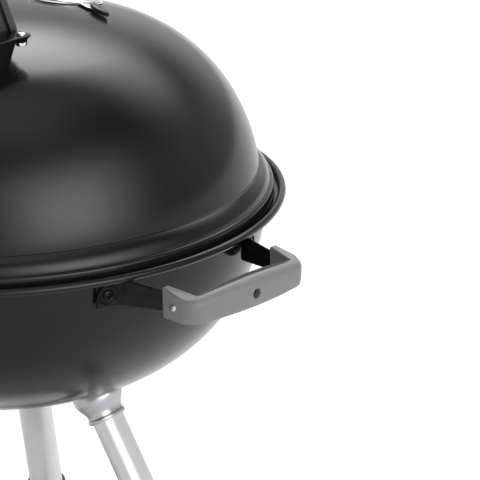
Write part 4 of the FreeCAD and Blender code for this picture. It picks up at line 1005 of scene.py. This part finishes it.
def make_ash_pan():
    height = 270.0
    finish_piece(join_meshes("pan_ring", carrier(130.0, height)), "stand", ZINC, "zinc_steel", "ash_pan_ring")
    top = height + CARRIER_ROD + 0.5
    floor = top - 26
    profile = [(0, floor), (94, floor), (98, floor + 0.9), (124, top - 1.2), (125.4, top), (134, top)]
    profile += arc((134.8, top + 1.2), 1.2, -90, 90, 8) + [(124.6, top + 2.4), (122.6, top + 1.4)]
    profile += [(97, floor + 2.2), (93.6, floor + 1.2), (0, floor + 1.2)]
    pan = turned("pan", profile, None, 160)
    finish_piece(pan, "ash_pan", PAN, "pan_aluminium", "ash_pan")


def make_grate(name, radius, drop, rod, ring_rod, pitch, loops):
    height = RIM - drop
    pieces = [hoop(radius, ring_rod, height, 160)] + chord_rods(radius, rod, pitch, height + ring_rod * 0.6)
    for sign in (-1, 1):
        offset = radius * 0.5 * sign
        half = math.sqrt(radius * radius - offset * offset)
        low = height - ring_rod * 0.4
        pieces.append(swept("bar", [(-half, offset, low), (half, offset, low)], ring_rod, 12))
        if loops:
            bow = [(x, sign * (radius - 4), height + z) for x, z in arc((0, 0), 27.0, 0, 180, 28)]
            pieces.append(swept("loop", bow, rod, 12))
    return join_meshes(name, pieces)


def make_grates():
    top = make_grate("grate_top", 252.0, 40.0, 2.2, 3.0, 18.0, True)
    finish_piece(top, "cooking_grate", GRATE, "grate_chrome", "cooking_grate")
    low = make_grate("grate_low", 203.0, 122.0, 3.0, 3.0, 25.0, False)
    finish_piece(low, "charcoal_grate", RAW_STEEL, "raw_steel", "charcoal_grate")


# CAD nodes shown as they are: finish and width of the bevel on their edges.
DRESSED = {
    "leg_socket_bolts": (ZINC, 0.4),
    "axle": (ZINC, 0.6),
    "axle_spacers": (BLACK_PLASTIC, 0.4),
    "axle_caps": (ZINC, 0.6),
    "bottom_shelf_clips": (BLACK_PLASTIC, 0.8),
    "ash_pan_clips": (BLACK_PLASTIC, 0.8),
    "cooking_grate_rests": (ENAMEL, 0.4),
    "charcoal_grate_rests": (ENAMEL, 0.4),
    "ash_sweeper_blades": (RAW_STEEL, 0.0),
    "ash_sweeper_shaft": (ZINC, 0.5),
    "ash_sweeper_nut": (ZINC, 0.4),
    "ash_sweeper_lever": (ZINC, 0.4),
    "ash_sweeper_knob": (BLACK_PLASTIC, 2.0),
}


# ---------------------------------------------------------------- studio
# Soft lamps of the studio: azimuth and elevation of the middle, half width and half height in
# degrees, and strength. Azimuth 0 is the camera's right and 90 is behind the grill.
LAMPS = {
    "back_high": (68, 47, 34, 12, 4.0),
    "back_left": (100, 45, 22, 13, 6.0),
    "back_low": (75, 12, 30, 14, 1.0),
    "front_wide": (-60, 18, 30, 25, 4.5),
    "front_core": (-60, 15, 15, 15, 2.0),
    "right_wall": (15, 12, 28, 16, 0.5),
    "overhead": (-90, 84, 26, 26, 1.2),
}
AMBIENT = 0.05


def math_node(tree, operation, first, second=None):
    node = tree.nodes.new("ShaderNodeMath")
    node.operation = operation
    for socket, value in zip(node.inputs, (first, second)):
        if value is None:
            continue
        if isinstance(value, (int, float)):
            socket.default_value = value
        else:
            tree.links.new(value, socket)
    return node.outputs[0]


def lamp_glow(tree, azimuth, elevation, wide, high, strength):
    """Glow of one lamp over the sky: level in its middle and soft towards all its edges."""
    turn, rise = math.radians(azimuth) + CAMERA_TURN, math.radians(elevation)
    middle = Vector((math.cos(rise) * math.cos(turn), math.cos(rise) * math.sin(turn), math.sin(rise)))
    side = Vector((-math.sin(turn), math.cos(turn), 0))
    above = middle.cross(side)
    way = tree.nodes.new("ShaderNodeTexCoord").outputs["Generated"]
    parts = []
    for axis in (middle, side, above):
        dot = tree.nodes.new("ShaderNodeVectorMath")
        dot.operation = "DOT_PRODUCT"
        tree.links.new(way, dot.inputs[0])
        dot.inputs[1].default_value = axis
        parts.append(dot.outputs["Value"])
    falls = []
    for part, half in zip(parts[1:], (wide, high)):
        share = math_node(tree, "DIVIDE", part, math.sin(math.radians(half)))
        falls.append(math_node(tree, "POWER", math_node(tree, "ABSOLUTE", share), 3.0))
    fall = math_node(tree, "EXPONENT", math_node(tree, "MULTIPLY", math_node(tree, "ADD", *falls), -1.0))
    ahead = math_node(tree, "GREATER_THAN", parts[0], 0.0)
    return math_node(tree, "MULTIPLY", math_node(tree, "MULTIPLY", fall, ahead), strength)


def make_studio():
    world = bpy.context.scene.world or bpy.data.worlds.new("studio")
    bpy.context.scene.world = world
    world.use_nodes = True
    tree = world.node_tree
    tree.nodes.clear()
    total = AMBIENT
    for lamp in LAMPS.values():
        total = math_node(tree, "ADD", lamp_glow(tree, *lamp), total)
    lit, seen = tree.nodes.new("ShaderNodeBackground"), tree.nodes.new("ShaderNodeBackground")
    tree.links.new(total, lit.inputs["Strength"])
    lit.inputs["Color"].default_value = (1, 1, 1, 1)
    seen.inputs["Color"].default_value = (1, 1, 1, 1)
    path, mix = tree.nodes.new("ShaderNodeLightPath"), tree.nodes.new("ShaderNodeMixShader")
    tree.links.new(path.outputs["Is Camera Ray"], mix.inputs[0])
    tree.links.new(lit.outputs[0], mix.inputs[1])
    tree.links.new(seen.outputs[0], mix.inputs[2])
    tree.links.new(mix.outputs[0], tree.nodes.new("ShaderNodeOutputWorld").inputs["Surface"])

    bpy.ops.mesh.primitive_plane_add(size=60, location=(0, 0, 0))
    floor = bpy.context.object
    floor.name = "floor"
    floor.data.materials.append(surface("floor_pale", (0.86, 0.86, 0.86), 0.7, grain=60, bump=0.01, tint=0.01))
    bpy.context.scene.view_settings.view_transform = "Standard"


make_lid()
make_lid_vent()
make_lid_handle()
make_bowl()
for side_name, side_sign in (("right", 1), ("left", -1)):
    make_side_handle(side_name, side_sign)
for leg_name in LEGS:
    make_leg(leg_name)
make_foot()
make_running_gear()
make_shelf()
make_ash_pan()
make_grates()
for node, (finish, edge) in DRESSED.items():
    dress(node, finish, edge)
make_studio()
make_camera()
